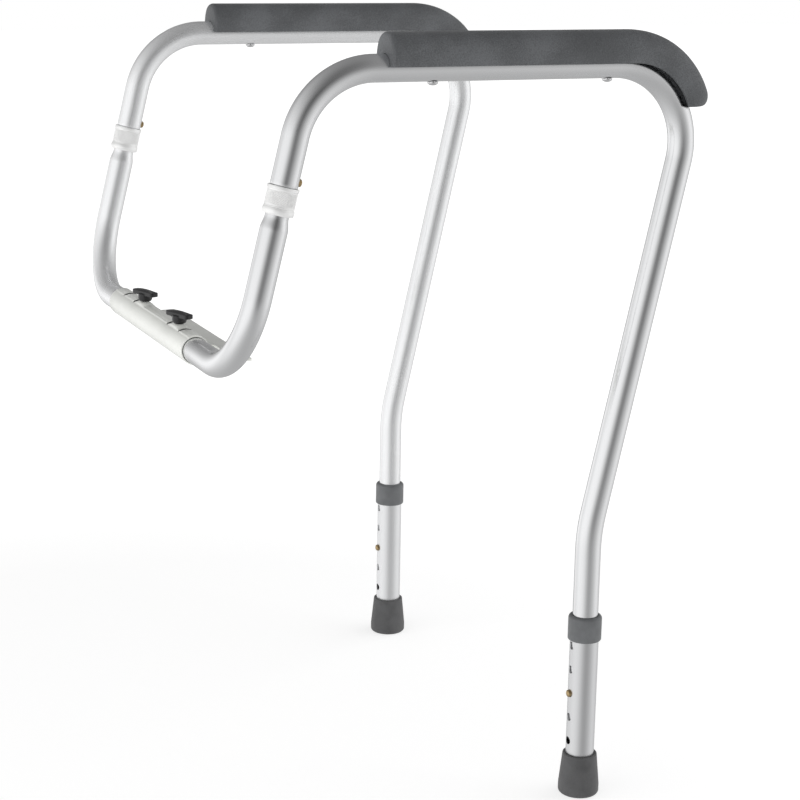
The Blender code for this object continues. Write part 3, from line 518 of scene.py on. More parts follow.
def moulded_plastic(name, colour, roughness, depth=0.00005, **sockets):
    """Moulded plastic with a spark-eroded grain and a slight mottle."""
    finish = Finish(name, **sockets)
    cloud = finish.noise(60, 3)
    grain = finish.noise(1700, 2)
    finish.colours(finish.sum(cloud, grain, 0.4), colour, (0.45, 0.82), (0.9, 1.12))
    finish.roughness(finish.levels(grain, roughness - 0.05, roughness + 0.06))
    finish.bump(grain, depth, 0.6)
    return finish.material


def moulded_rubber(name, colour):
    """Matt rubber with a dusty mottle."""
    finish = Finish(name, Sheen_Weight=0.10, Sheen_Roughness=0.6)
    cloud = finish.noise(75, 4)
    grain = finish.noise(1300, 2)
    finish.colours(finish.sum(cloud, grain, 0.4), colour, (0.45, 0.80), (0.85, 1.2))
    finish.roughness(finish.levels(cloud, 0.58, 0.74))
    finish.bump(grain, 0.00008, 0.6)
    return finish.material


KNOB_GLOSS = {"Coat_Weight": 0.2, "Specular_IOR_Level": 0.42}
FINISHES = {
    "tube": drawn_metal("drawn_aluminium", (0.87, 0.875, 0.885), 0.21, "run"),
    # Painted light: a paler, less metallic copy of the tube finish for the far frame.
    "painted_light_tube": drawn_metal("drawn_aluminium_painted_light", (0.93, 0.935, 0.945), 0.24, "run", 0.76),
    # Painted shade: the lower legs take a darker, rougher copy of the tube finish, its darker colour
    # standing for the dimmer reflections low down near the floor.
    "leg_tube": drawn_metal("drawn_aluminium_legs", (0.79, 0.795, 0.805), 0.36, "run"),
    # Painted light: a paler, less metallic copy of the leg finish for the far frame.
    "painted_light_leg_tube": drawn_metal("drawn_aluminium_legs_painted_light", (0.86, 0.865, 0.875), 0.36, "run", 0.8),
    "ring": drawn_metal("turned_aluminium", (0.93, 0.93, 0.925), 0.46, metallic=0.5),
    "coat": powder_coat("cream_powder_coat", (0.83, 0.84, 0.80)),
    "pad": moulded_skin("pad_skin", (0.085, 0.089, 0.094)),
    "knob": moulded_plastic("knob_black", (0.010, 0.010, 0.011), 0.28, 0.00002, **KNOB_GLOSS),
    "collar": moulded_plastic("collar_grey", (0.13, 0.135, 0.14), 0.42),
    "rubber": moulded_rubber("tip_rubber", (0.076, 0.076, 0.078)),
    "brass": cast_metal("brass", (0.50, 0.37, 0.20), 0.20),
    "steel": cast_metal("zinc_steel", (0.60, 0.60, 0.60), 0.35),
    "spring": cast_metal("spring_steel", (0.42, 0.42, 0.43), 0.30),
    "chrome": cast_metal("chrome", (0.86, 0.86, 0.87), 0.12, 900),
    "plug": moulded_plastic("plug_black", (0.05, 0.05, 0.052), 0.5),
}

# The user's left frame is shown hazier than the right one: its tubes take paler, less metallic copies of
# the tube finishes, painted light that dims the dark reflections on the same metal.
TUBE_LOOKS = {"right": "", "left": "painted_light_"}


# Mesh making

def quads(rows, count, closed):
    """Faces between rows of equal counts of points, each row closed on itself."""
    faces = []
    for row in range(rows if closed else rows - 1):
        low = row * count
        high = (row + 1) % rows * count
        for index in range(count):
            after = (index + 1) % count
            faces.append((low + index, low + after, high + after, high + index))
    return faces


def mesh_of(name, rows, faces):
    mesh = bpy.data.meshes.new(name)
    mesh.from_pydata([tuple(point) for row in rows for point in row], [], faces)
    return outward(mesh)


def skin(name, rows, closed=False):
    """A mesh over closed rings of points, joined on or with flat ends."""
    count = len(rows[0])
    faces = quads(len(rows), count, closed)
    if not closed:
        faces.append(tuple(range(count)))
        faces.append(tuple((len(rows) - 1) * count + index for index in range(count)))
    return mesh_of(name, rows, faces)


def outward(mesh):
    shape = bmesh.new()
    shape.from_mesh(mesh)
    bmesh.ops.remove_doubles(shape, verts=shape.verts, dist=1e-7)
    bmesh.ops.recalc_face_normals(shape, faces=shape.faces)
    shape.to_mesh(mesh)
    shape.free()
    return mesh


def flat_faced(mesh):
    """The mesh cut into triangles, so that no face is twisted."""
    shape = bmesh.new()
    shape.from_mesh(mesh)
    bmesh.ops.triangulate(shape, faces=shape.faces)
    shape.to_mesh(mesh)
    shape.free()
    return mesh


def wheel(radii, height):
    """Points round Z at equal angles, each at its own radius."""
    points = []
    for index, radius in enumerate(radii):
        angle = 2 * pi * index / len(radii)
        points.append((radius * cos(angle), radius * sin(angle), height))
    return points


def wheels(profile, sides):
    return [wheel([radius] * sides, height) for radius, height in profile]


def turned(name, profile, sides=ROUND_SIDES, closed=False):
    """A turned shape about Z from (radius, height) points; a zero radius is a closed middle."""
    rows = wheels(profile, sides)
    return mesh_of(name, rows, quads(len(rows), sides, closed))


def arc(centre_x, centre_y, radius, start, end, steps):
    """Points (x, y) on an arc between two angles in degrees, both ends included."""
    angles = [radians(start + (end - start) * index / steps) for index in range(steps + 1)]
    return [(centre_x + radius * cos(a), centre_y + radius * sin(a)) for a in angles]


def stadium(length, width, steps):
    reach = (length - width) / 2
    return arc(reach, 0, width / 2, -90, 90, steps) + arc(-reach, 0, width / 2, 90, 270, steps)


def rectangle(half_x, half_y):
    return [(-half_x, -half_y), (half_x, -half_y), (half_x, half_y), (-half_x, half_y)]


def smooth(share):
    """A share from 0 to 1, eased at both ends."""
    return share * share * (3 - 2 * share)


def prism(name, outline, low, high):
    return skin(name, [[(x, y, z) for x, y in outline] for z in (low, high)])


def rod(name, radius, low, high, sides=48):
    return turned(name, [(0, low), (radius, low), (radius, high), (0, high)], sides)


def along(place, axis):
    """The matrix that sets a shape made about Z at a place and along an axis."""
    return Matrix.Translation(place) @ axis.to_track_quat("Z", "Y").to_matrix().to_4x4()


def moved(mesh, where):
    """The mesh moved by a matrix, or by the way from the origin to a place."""
    mesh.transform(where if isinstance(where, Matrix) else Matrix.Translation(where))
    return mesh


def new_object(name, mesh):
    obj = bpy.data.objects.new(name, mesh)
    bpy.context.scene.collection.objects.link(obj)
    return obj


def carve(obj, cutters, operation="DIFFERENCE"):
    """Cuts the meshes out of an object, or joins them on, for good."""
    shape = bmesh.new()
    for mesh in cutters:
        shape.from_mesh(mesh)
    joined = bpy.data.meshes.new("cutter")
    shape.to_mesh(joined)
    shape.free()
    tool = new_object("cutter", joined)
    boolean = obj.modifiers.new("cut", "BOOLEAN")
    boolean.solver = "EXACT"
    boolean.operation = operation
    boolean.object = tool
    bpy.context.view_layer.update()
    settled = bpy.data.meshes.new_from_object(obj.evaluated_get(bpy.context.evaluated_depsgraph_get()))
    obj.modifiers.clear()
    obj.data = settled
    bpy.data.objects.remove(tool, do_unlink=True)


def settle(obj, node, slot, sharp=35, finish=None):
    """Gives a piece its finish, its smooth shading and the body of the solid that it replaces."""
    obj.data.materials.clear()
    obj.data.materials.append(FINISHES[finish or slot])
    obj.data.shade_smooth()
    obj.data.set_sharp_from_angle(angle=radians(sharp))
    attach(obj, BODY_OF[node])
    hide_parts(node)


def add_piece(node, form, mesh, slot, sharp=35):
    """A new piece that stands for a solid, under the solid's name with its form added."""
    settle(new_object(node + "_" + form, mesh), node, slot, sharp)


# Bent and straight tubes

def frame_x(side):
    return side * FRAME_SPACING / 2 - BRACKET_SHIFT


def frame_corner(side, forward, rise):
    return Vector((frame_x(side), AXIS_Y - forward, AXIS_Z + rise))


def leg_spot(side, height=0.0):
    """A place on a leg's axis, at a height above the floor."""
    return Vector((frame_x(side), LEG_Y, FLOOR_Z + height))


def screw_places(side):
    return {where: frame_corner(side, forward, ARM_RISE) for where, forward in PAD_SCREW_PLACES.items()}


def slant(side):
    """The rear corner and the direction from it down to the elbow."""
    rear = frame_corner(side, REAR_CORNER_FORWARD, ARM_RISE)
    return rear, (frame_corner(side, 0, 0) - rear).normalized()


def button_seats(side):
    """Each snap button's place on its tube's axis and the way that it faces."""
    rear, down = slant(side)
    return {
        "rear_button": (rear + down * REAR_BUTTON_PLACE, down.cross(ACROSS).normalized()),
        "leg_button": (leg_spot(side, BUTTON_HEIGHT), BACK),
    }


def button_hole(place, axis):
    return moved(rod("hole", HOLE_RADIUS, 0, CUT_REACH), along(place, axis))


def rounded_route(corners, radii):
    """Stations (point, direction) along straight runs joined by bends of the given radii."""
    stations = [(corners[0], (corners[1] - corners[0]).normalized())]
    for before, corner, after, radius in zip(corners, corners[1:], corners[2:], radii):
        come = (corner - before).normalized()
        leave = (after - corner).normalized()
        turn = come.angle(leave)
        start = corner - come * radius * tan(turn / 2)
        axis = come.cross(leave).normalized()
        centre = start + axis.cross(come) * radius
        steps = ceil(turn / BEND_STEP)
        for index in range(steps + 1):
            spin = Matrix.Rotation(turn * index / steps, 3, axis)
            stations.append((centre + spin @ (start - centre), spin @ come))
    stations.append((corners[-1], (corners[-1] - corners[-2]).normalized()))
    return stations


def ring(point, direction, across, radius):
    lift = direction.cross(across)
    angles = [2 * pi * index / ROUND_SIDES for index in range(ROUND_SIDES)]
    return [point + radius * (cos(a) * across + sin(a) * lift) for a in angles]


def closer(stations, places):
    """The stations with close extra ones round each hole, so that the metal round it stays smooth."""
    full = []
    for one, other in zip(stations, stations[1:]):
        full.append(one)
        run = other[0] - one[0]
        if one[1].angle(other[1]) > 1e-4 or run.length < 0.02:
            continue
        middles = [(place - one[0]).dot(one[1]) for place in places]
        marks = {round(middle + offset, 5) for middle in middles for offset in HOLE_MARKS}
        for mark in sorted(mark for mark in marks if 0.001 < mark < run.length - 0.001):
            share = mark / run.length
            sizes = [a + (b - a) * share for a, b in zip(one[2:], other[2:])]
            full.append((one[0] + one[1] * mark, one[1], *sizes))
    full.append(stations[-1])
    return full


def tube_skin(stations, across):
    """An open tube over stations (point, direction, outer radius, bore radius), its ends eased."""
    edge = 0.0004
    outside = []
    inside = []
    last = len(stations) - 1
    for index, (point, direction, outer, bore) in enumerate(stations):
        if index in (0, last):
            inward = edge if index == 0 else -edge
            rows = [(point, outer - edge), (point + direction * inward * 0.3, outer - edge * 0.3),
                    (point + direction * inward, outer)]
            if index == last:
                rows.reverse()
            outside += [ring(place, direction, across, radius) for place, radius in rows]
        else:
            outside.append(ring(point, direction, across, outer))
        inside.append(ring(point, direction, across, bore))
    return skin("tube", outside + inside[::-1], closed=True)


def straighten(obj, stations, across):
    """Writes each point's place in the tube as if it were straight: across, up and along it."""
    line = []
    length = 0.0
    for one, other in zip(stations, stations[1:]):
        run = (other[0] - one[0]).length
        steps = max(1, round(run / 0.002))
        for index in range(steps):
            share = index / steps
            direction = one[1].lerp(other[1], share).normalized()
            line.append((one[0].lerp(other[0], share), direction, length + run * share))
        length += run
    line.append((stations[-1][0], stations[-1][1], length))
    tree = KDTree(len(line))
    for index, (point, direction, place) in enumerate(line):
        tree.insert(point, index)
    tree.balance()
    values = np.zeros((len(obj.data.vertices), 3), np.float32)
    for index, vertex in enumerate(obj.data.vertices):
        point, direction, place = line[tree.find(vertex.co)[1]]
        offset = vertex.co - point
        lift = direction.cross(across)
        values[index] = (offset.dot(across), offset.dot(lift), place + offset.dot(direction))
    attribute = obj.data.attributes.new("run", "FLOAT_VECTOR", "POINT")
    attribute.data.foreach_set("vector", values.ravel())


def make_tube(prefix, kind, stations, across, cutters, slot):
    """An open tube with its holes cut, and each point's place along it stored for its finish."""
    node = prefix + "_" + kind
    obj = new_object(node + "_shell", tube_skin(stations, across))
    carve(obj, cutters)
    straighten(obj, stations, across)
    settle(obj, node, slot, finish=TUBE_LOOKS[prefix] + slot)


def make_arm_tube(prefix, side):
    rear, down = slant(side)
    corners = [
        frame_corner(side, LEG_FORWARD, LEG_TUBE_FOOT + FLOOR_Z - AXIS_Z),
        frame_corner(side, LEG_FORWARD, -KNEE_DROP),
        frame_corner(side, FRONT_CORNER_FORWARD, ARM_RISE),
        rear,
        rear + down * ARM_TUBE_END,
    ]
    route = rounded_route(corners, [KNEE_RADIUS, BEND_RADIUS, BEND_RADIUS])
    seats = button_seats(side)
    holes = [seats["leg_button"], seats["rear_button"]]
    screws = screw_places(side).values()
    stations = [(*station, TUBE_RADIUS, TUBE_BORE) for station in route]
    stations = closer(stations, [place for place, axis in holes] + list(screws))
    cutters = [button_hole(place, axis) for place, axis in holes]
    for place in screws:
        cutters.append(moved(rod("hole", SCREW_HOLE_RADIUS, -0.02, 0.02), place))
    make_tube(prefix, "arm_tube", stations, ACROSS, cutters, "tube")


def make_rear_tube(prefix, side):
    rear, down = slant(side)
    elbow = frame_corner(side, 0, 0)
    stub_end = Vector((frame_x(side) - side * STUB_REACH, AXIS_Y, AXIS_Z))
    route = rounded_route([rear + down * NECK_TOP, elbow, stub_end], [BEND_RADIUS])
    stations = [(rear + down * NECK_TOP, down, NECK_RADIUS, NECK_BORE)]
    steps = 10
    for index in range(steps + 1):
        share = index / steps
        widen = (TUBE_RADIUS - NECK_RADIUS) * smooth(share)
        place = rear + down * (NECK_END + FLARE_LENGTH * share)
        stations.append((place, down, NECK_RADIUS + widen, NECK_BORE + widen))
    stations += [(*station, TUBE_RADIUS, TUBE_BORE) for station in route[1:]]
    button, facing = button_seats(side)["rear_button"]
    cutters = [button_hole(button, facing)]
    make_tube(prefix, "rear_tube", closer(stations, [button]), facing, cutters, "tube")


def make_lower_leg(prefix, side):
    foot = leg_spot(side)
    ends = [(foot + UP * height, UP, SLEEVE_RADIUS, SLEEVE_BORE) for height in (LEG_BOTTOM, LEG_TOP)]
    holes = [foot + UP * height for height in HOLE_HEIGHTS]
    cutters = [button_hole(place, BACK) for place in holes]
    make_tube(prefix, "lower_leg", closer(ends, holes), ACROSS, cutters, "leg_tube")


# Small turned pieces

def make_lock_ring(prefix, side):
    """A turning ring with smooth flanges and a diamond-knurled band."""
    rear, down = slant(side)
    bore = NECK_RADIUS + PART_GAP
    flange = RING_FLANGE_RADIUS
    teeth = 54
    sides = teeth * 4
    angles = [2 * pi * index / sides for index in range(sides)]
    top = [(bore, 0.0004), (bore + 0.0004, 0), (flange - 0.0006, 0), (flange - 0.0002, 0.0002),
           (flange, 0.0006), (flange, RING_TOP_FLANGE - 0.0003), (flange - 0.0003, RING_TOP_FLANGE)]
    rows = wheels(top, sides)
    band_start = RING_TOP_FLANGE + 0.0006
    band_end = RING_LENGTH - RING_LOW_FLANGE - 0.0006
    pitch = (band_end - band_start) / 9
    steps = 40
    for index in range(steps + 1):
        height = band_start + (band_end - band_start) * index / steps
        depth = KNURL_DEPTH * min(1.0, min(index, steps - index) / 3)
        twist = 2 * pi * height / pitch
        waves = [cos(teeth * a + twist) + cos(teeth * a - twist) for a in angles]
        rows.append(wheel([RING_BAND_RADIUS + depth * wave for wave in waves], height))
    low = RING_LENGTH - RING_LOW_FLANGE
    bottom = [(flange - 0.0004, low)]
    for index in range(11):
        share = index / 10
        bulge = sin(pi * (0.18 + 0.60 * share))
        bottom.append((flange - 0.0021 + 0.0023 * bulge, low + 0.0003 + (RING_LOW_FLANGE - 0.0007) * share))
    bottom += [(flange - 0.0022, RING_LENGTH), (bore + 0.0004, RING_LENGTH), (bore, RING_LENGTH - 0.0004)]
    mesh = skin("ring", rows + wheels(bottom, sides), closed=True)
    mesh.transform(along(rear + down * (ARM_TUBE_END + PART_GAP), down))
    add_piece(prefix + "_lock_ring", "turned", mesh, "ring")


def flange_top(bore):
    """The height at which a button's flange rests inside the solid tube's bore of 20 flat sides."""
    return sqrt((bore * cos(pi / 20)) ** 2 - BUTTON_FLANGE_RADIUS**2) - PART_GAP


def make_button(prefix, where, bore, outside, place, axis):
    seat = flange_top(bore)
    shoulder = outside + BUTTON_PROUD - BUTTON_DOME
    crown = [(BUTTON_RADIUS * cos(a), shoulder + BUTTON_DOME * sin(a)) for a in QUARTER_TURN]
    profile = [(0, seat - BUTTON_FLANGE), (BUTTON_FLANGE_RADIUS, seat - BUTTON_FLANGE),
               (BUTTON_FLANGE_RADIUS, seat), (BUTTON_RADIUS, seat), *crown]
    mesh = moved(turned("button", profile, 40), along(place, axis))
    add_piece(prefix + "_" + where, "domed", mesh, "brass")


def make_leg_collar(prefix, side):
    bore = SLEEVE_RADIUS + PART_GAP
    lip = LEG_TOP + PART_GAP
    outer = COLLAR_RADIUS
    profile = [
        (bore, COLLAR_BOTTOM + 0.0003),
        (bore + 0.0003, COLLAR_BOTTOM),
        *arc(outer - 0.0009, COLLAR_BOTTOM + 0.0009, 0.0009, -90, 0, 4),
        *arc(outer - COLLAR_ROUND, COLLAR_TOP - COLLAR_ROUND, COLLAR_ROUND, 0, 90, 10),
        (SLEEVE_BORE + 0.0001, COLLAR_TOP - 0.0001),
        (SLEEVE_BORE, COLLAR_TOP - 0.0003),
        (SLEEVE_BORE, lip),
        (bore, lip),
    ]
    mesh = moved(turned("collar", profile, closed=True), leg_spot(side))
    add_piece(prefix + "_leg_collar", "moulded", mesh, "collar")


def make_rubber_tip(prefix, side):
    """A tapered rubber cup with a rolled base edge and ring grooves underneath."""
    bore = SLEEVE_RADIUS + PART_GAP
    base = TIP_BASE_RADIUS
    top = TIP_TOP_RADIUS
    tread = [(0, 0)]
    for groove in (0.0035, 0.0068, 0.0101, 0.0134):
        tread += [(groove, 0), (groove + 0.0003, 0.0009), (groove + 0.0010, 0.0009), (groove + 0.0013, 0)]
    profile = [
        *tread,
        *arc(base - TIP_BASE_ROUND, TIP_BASE_ROUND, TIP_BASE_ROUND, -90, 0, 10),
        (base, TIP_BASE_HEIGHT - 0.001),
        (base - 0.0001, TIP_BASE_HEIGHT + 0.001),
        (top, TIP_HEIGHT - 0.0012),
        (top - 0.0002, TIP_HEIGHT - 0.0005),
        (top - 0.0008, TIP_HEIGHT),
        (bore + 0.0005, TIP_HEIGHT),
        (bore, TIP_HEIGHT - 0.0005),
        (bore, TIP_FLOOR),
        (0, TIP_FLOOR),
    ]
    mesh = moved(turned("tip", profile), leg_spot(side))
    add_piece(prefix + "_rubber_tip", "moulded", mesh, "rubber")


def make_pad_screws(prefix, side):
    """Domed screws up through the arm tube, each with a cross recess in its head."""
    seat = -(TUBE_RADIUS + PART_GAP)
    tip = TUBE_RADIUS + PART_GAP + PAD_NUT_HEIGHT - 0.001
    rim = 0.0004
    dome = SCREW_HEAD_HEIGHT - rim
    head = [(SCREW_HEAD_RADIUS * sin(a), seat - rim - dome * cos(a)) for a in QUARTER_TURN]
    profile = [*head, (SCREW_HEAD_RADIUS, seat), (SCREW_RADIUS, seat), (SCREW_RADIUS, tip - 0.0005),
               (SCREW_RADIUS - 0.0005, tip), (0, tip)]
    bottom = seat - SCREW_HEAD_HEIGHT
    for where, place in screw_places(side).items():
        node = prefix + "_pad_screw_" + where
        obj = new_object(node + "_domed", turned("screw", profile, 40))
        for spin in (0.35, 0.35 + pi / 2):
            arm = prism("arm", rectangle(0.0024, 0.00045), bottom - 0.001, bottom + 0.0013)
            carve(obj, [moved(arm, Matrix.Rotation(spin, 4, "Z"))])
        moved(obj.data, place)
        settle(obj, node, "chrome")


# Arm cushions

def pad_bend_centre(side):
    """The (y, z) place that the pad bends round, ahead of and above the tube's own bend centre."""
    front = frame_corner(side, FRONT_CORNER_FORWARD, ARM_RISE)
    knee = frame_corner(side, LEG_FORWARD, -KNEE_DROP)
    turn = (knee - front).angle(Vector((0, -1, 0)))
    start = front.y + BEND_RADIUS * tan(turn / 2)
    return start - PAD_BEND_FORWARD, ARM_Z - PAD_BEND_RADIUS


def pad_section(half_width, crown, hugging):
    """The pad's cross section as closed (x, height) points: the crowned outside, then the hollow."""
    steps = 64
    points = []
    for index in range(steps + 1):
        angle = pi * index / steps
        across = abs(cos(angle)) ** PAD_SIDE_ROUNDING
        rise = sin(angle) ** PAD_TOP_ROUNDING
        draw = PAD_DRAW_IN * (1 - min(1, rise / PAD_DRAW_SHARE)) ** 2
        x = copysign((half_width - draw) * across, cos(angle))
        points.append((x, PAD_SKIRT + (crown - PAD_SKIRT) * rise))
    edge = half_width - PAD_DRAW_IN
    groove = [(edge - 0.0004, PAD_SKIRT - 0.0001), (edge - 0.0006, PAD_SKIRT + 0.0007),
              (edge - 0.0012, PAD_SKIRT + 0.0008), (edge - 0.0014, PAD_SKIRT - 0.0002)]
    inner = PAD_HALF_WIDTH - PAD_LIP
    roof = TUBE_RADIUS + PART_GAP
    low = asin((PAD_SKIRT - 0.0004) / roof)
    hollow = []
    count = 40
    for index in range(count + 1):
        if hugging:
            angle = low + (pi - 2 * low) * index / count
            hollow.append((roof * cos(angle), roof * sin(angle)))
        else:
            angle = pi * index / count
            x = copysign(inner * abs(cos(angle)) ** PAD_HOLLOW_ROUNDING, cos(angle))
            hollow.append((x, PAD_SKIRT + (roof - PAD_SKIRT) * sin(angle) ** PAD_HOLLOW_ROUNDING))
    left_groove = [(-x, height) for x, height in groove]
    return points + left_groove + hollow[::-1] + groove[::-1]


def pad_ring(side, kind, value, inset, drop, hugging):
    centre_y, centre_z = pad_bend_centre(side)
    nose_height = AXIS_Z + PAD_NOSE_ABOVE - centre_z
    row = []
    for x, rise in pad_section(PAD_HALF_WIDTH - inset, PAD_CROWN - drop, hugging):
        if kind == "run":
            row.append((frame_x(side) + x, value, ARM_Z + rise))
            continue
        radius = PAD_BEND_RADIUS + rise
        angle = value * acos(nose_height / radius)
        y = centre_y - radius * sin(angle)
        row.append((frame_x(side) + x, y, centre_z + radius * cos(angle)))
    return row


def rounded_drop(size, share):
    return size * (1 - sqrt(max(0.0, 1 - share * share)))


def make_arm_pad(prefix, side):
    """The moulded cushion, from its square rear end round to its nose in the front bend."""
    bend_start, centre_z = pad_bend_centre(side)
    rows = []
    for share in (1.0, 0.98, 0.93, 0.85, 0.74, 0.6, 0.4, 0.2, 0.0):
        drop = rounded_drop(PAD_REAR_ROUND, share)
        place = PAD_REAR_END - PAD_REAR_ROUND * (1 - share)
        rows.append(pad_ring(side, "run", place, drop * 0.6, drop, True))
    wall = PAD_REAR_END - PAD_END_WALL
    rows.append(pad_ring(side, "run", wall, 0, 0, True))
    run_start = wall - 0.001
    steps = 60
    for index in range(steps):
        place = run_start + (bend_start - run_start) * index / steps
        rows.append(pad_ring(side, "run", place, 0, 0, False))
    nose_radius = PAD_BEND_RADIUS + PAD_CROWN
    nose_turn = acos((AXIS_Z + PAD_NOSE_ABOVE - centre_z) / nose_radius)
    nose_share = PAD_NOSE_LENGTH / (nose_turn * nose_radius)
    steps = 44
    for index in range(steps + 1):
        rows.append(pad_ring(side, "bend", (1 - nose_share) * index / steps, 0, 0, False))
    for share in (0.15, 0.3, 0.45, 0.6, 0.72, 0.82, 0.9, 0.96, 0.99, 1.0):
        drop = rounded_drop(PAD_NOSE_DROP, share)
        rows.append(pad_ring(side, "bend", 1 - nose_share * (1 - share), drop * 0.2, drop, False))
    obj = new_object(prefix + "_arm_cushion", skin("cushion", rows))
    depth = TUBE_RADIUS + PAD_NUT_HEIGHT + 2 * PART_GAP
    pockets = []
    for place in screw_places(side).values():
        pocket = rod("pocket", PAD_NUT_RADIUS + PART_GAP, 0, depth, 32)
        pockets.append(moved(pocket, place))
    carve(obj, pockets)
    settle(obj, prefix + "_arm_pad", "pad", 50)


# Bracket and clamps

def boss_rise(x):
    """How far the band's middle stands up at a place along it: the bosses, less the slits' dips."""
    near = min(abs(x - place) for place in KNOB_PLACES.values())
    share = min(1.0, max(0.0, (near - BOSS_FLAT / 2) / BOSS_FALL))
    rise = BOSS_RISE * (1 - smooth(share))
    for slit in SLITS:
        if 0 <= slit - x < SLIT_DIP_REACH:
            rise -= SLIT_DIP * smooth(1 - (slit - x) / SLIT_DIP_REACH)
    return rise


def bracket_section(rise):
    """The sleeve, the low band with a fine bead along each edge, and the plate, as (y, z) points."""
    radius = SLEEVE_RADIUS
    joint = asin((radius - PLATE_THICKNESS) / radius)
    points = []
    steps = 160
    for index in range(steps + 1):
        angle = -pi / 2 + (1.5 * pi + joint) * index / steps
        y = radius * cos(angle)
        z = radius * sin(angle)
        if z > 0 and abs(y) < BAND_HALF_WIDTH:
            bead = BEAD_HEIGHT * exp(-((abs(y) - BEAD_PLACE) / BEAD_WIDTH) ** 2)
            boss = rise * max(0.0, 1 - (abs(y) / BOSS_HALF_WIDTH) ** BOSS_ROUNDING)
            top = radius + BAND_LIFT - BAND_CROWN * (y / BAND_CROWN_REACH) ** 2 + bead + boss
            z += smooth(min(1.0, (BAND_HALF_WIDTH - abs(y)) / BAND_EDGE)) * (top - z)
        points.append((AXIS_Y + y, AXIS_Z + z))
    edge = PLATE_THICKNESS / 2
    return points + arc(PLATE_FRONT + edge, edge, edge, 90, 270, 10)


def inset_section(points, depth):
    """The section drawn in by a depth, square to its outline."""
    inset = []
    for (y, z), before, after in zip(points, points[-1:] + points[:-1], points[1:] + points[:1]):
        run = (Vector(after) - Vector(before)).normalized()
        inset.append((y - run.y * depth, z + run.x * depth))
    return inset


def sleeve_spot(x):
    """The matrix that sets a shape on the sleeve's axis, at a place along it."""
    return Matrix.Translation((x, AXIS_Y, AXIS_Z))


def bracket_places():
    """The sections' places along the bracket, each with how far the rounded ends draw it in."""
    ease = 0.0006
    ends = [(SLEEVE_HALF - ease * share, rounded_drop(ease, 1 - share)) for share in (0.0, 0.3, 0.6, 1.0)]
    boss_steps = 12
    dip_steps = 6
    places = []
    for place in KNOB_PLACES.values():
        reaches = [BOSS_FLAT / 2 + BOSS_FALL * index / boss_steps for index in range(boss_steps + 1)]
        places += [place - reach for reach in reaches] + [place + reach for reach in reaches]
    for slit in SLITS:
        places += [slit - SLIT_DIP_REACH * index / dip_steps for index in range(dip_steps + 1)]
        places.append(slit + 0.0001)
    return [(-x, depth) for x, depth in ends] + [(x, 0.0) for x in sorted(places)] + ends[::-1]


def slit_cutters():
    half = BAND_HALF_WIDTH + 0.0002
    low = sqrt(SLEEVE_BORE**2 - half**2) - SLIT_DEPTH
    cutters = []
    for place, width in SLITS.items():
        slit = prism("slit", rectangle(width / 2, half), low, CUT_REACH)
        cutters.append(moved(slit, sleeve_spot(place)))
    return cutters


def plate_cutters():
    """The seat-bolt slots and what rounds the plate's two front corners."""
    low = -0.003
    high = 0.006
    over = 0.002
    round_off = arc(-PLATE_CORNER, PLATE_CORNER, PLATE_CORNER, -90, 0, 10)
    outline = [(-PLATE_CORNER, -over), *round_off, (over, PLATE_CORNER), (over, -over)]
    cutters = []
    for side in SIDES.values():
        slot = prism("slot", stadium(SLOT_LENGTH, SLOT_WIDTH, 16), low, high)
        cutters.append(moved(slot, (side * SLOT_PLACE, 0, 0)))
        corner = prism("corner", [(side * x, y) for x, y in outline], low, high)
        cutters.append(moved(corner, (side * SLEEVE_HALF, PLATE_FRONT, 0)))
    return cutters


def make_bracket():
    rows = []
    for x, depth in bracket_places():
        rows.append([(x, y, z) for y, z in inset_section(bracket_section(boss_rise(x)), depth)])
    obj = new_object("bracket_coated", flat_faced(skin("bracket", rows)))
    bore = rod("bore", SLEEVE_BORE, -0.3, 0.3, ROUND_SIDES)
    carve(obj, [moved(bore, sleeve_spot(0) @ Matrix.Rotation(pi / 2, 4, "Y"))])
    clamps = [sleeve_spot(place) for place in KNOB_PLACES.values()]
    half = (NUT_WIDTH + 3 * PART_GAP) / 2
    pocket_top = SLEEVE_BORE + NUT_THICKNESS + PART_GAP
    carve(obj, [moved(prism("pocket", rectangle(half, half), 0, pocket_top), clamp) for clamp in clamps])
    carve(obj, [moved(rod("hole", STUD_HOLE_RADIUS, 0, CUT_REACH, 32), clamp) for clamp in clamps])
    carve(obj, slit_cutters())
    carve(obj, plate_cutters())
    settle(obj, "bracket", "coat", 30)


def make_stud(prefix):
    """A threaded stud, its helix cut into the rod."""
    low = SLEEVE_BORE
    high = BOSS_TOP + KNOB_LIFT + STUD_IN_KNOB
    sides = 24
    steps = 96
    rows = wheels([(STUD_CORE, low)], sides)
    for step in range(steps + 1):
        height = low + (high - low) * step / steps
        phases = [(height / THREAD_PITCH - index / sides) % 1 for index in range(sides)]
        radii = [STUD_RADIUS - THREAD_DEPTH * (1 - abs(2 * phase - 1)) for phase in phases]
        rows.append(wheel(radii, height))
    rows += wheels([(STUD_CORE, high)], sides)
    mesh = moved(skin("stud", rows), sleeve_spot(KNOB_PLACES[prefix]))
    add_piece(prefix + "_knob_stud", "threaded", mesh, "steel", 60)


def rolled(inset, radius):
    """How far a rounded edge falls back at a distance in from where it ends."""
    if inset >= radius:
        return 0.0
    return radius - sqrt(radius**2 - (radius - inset) ** 2)


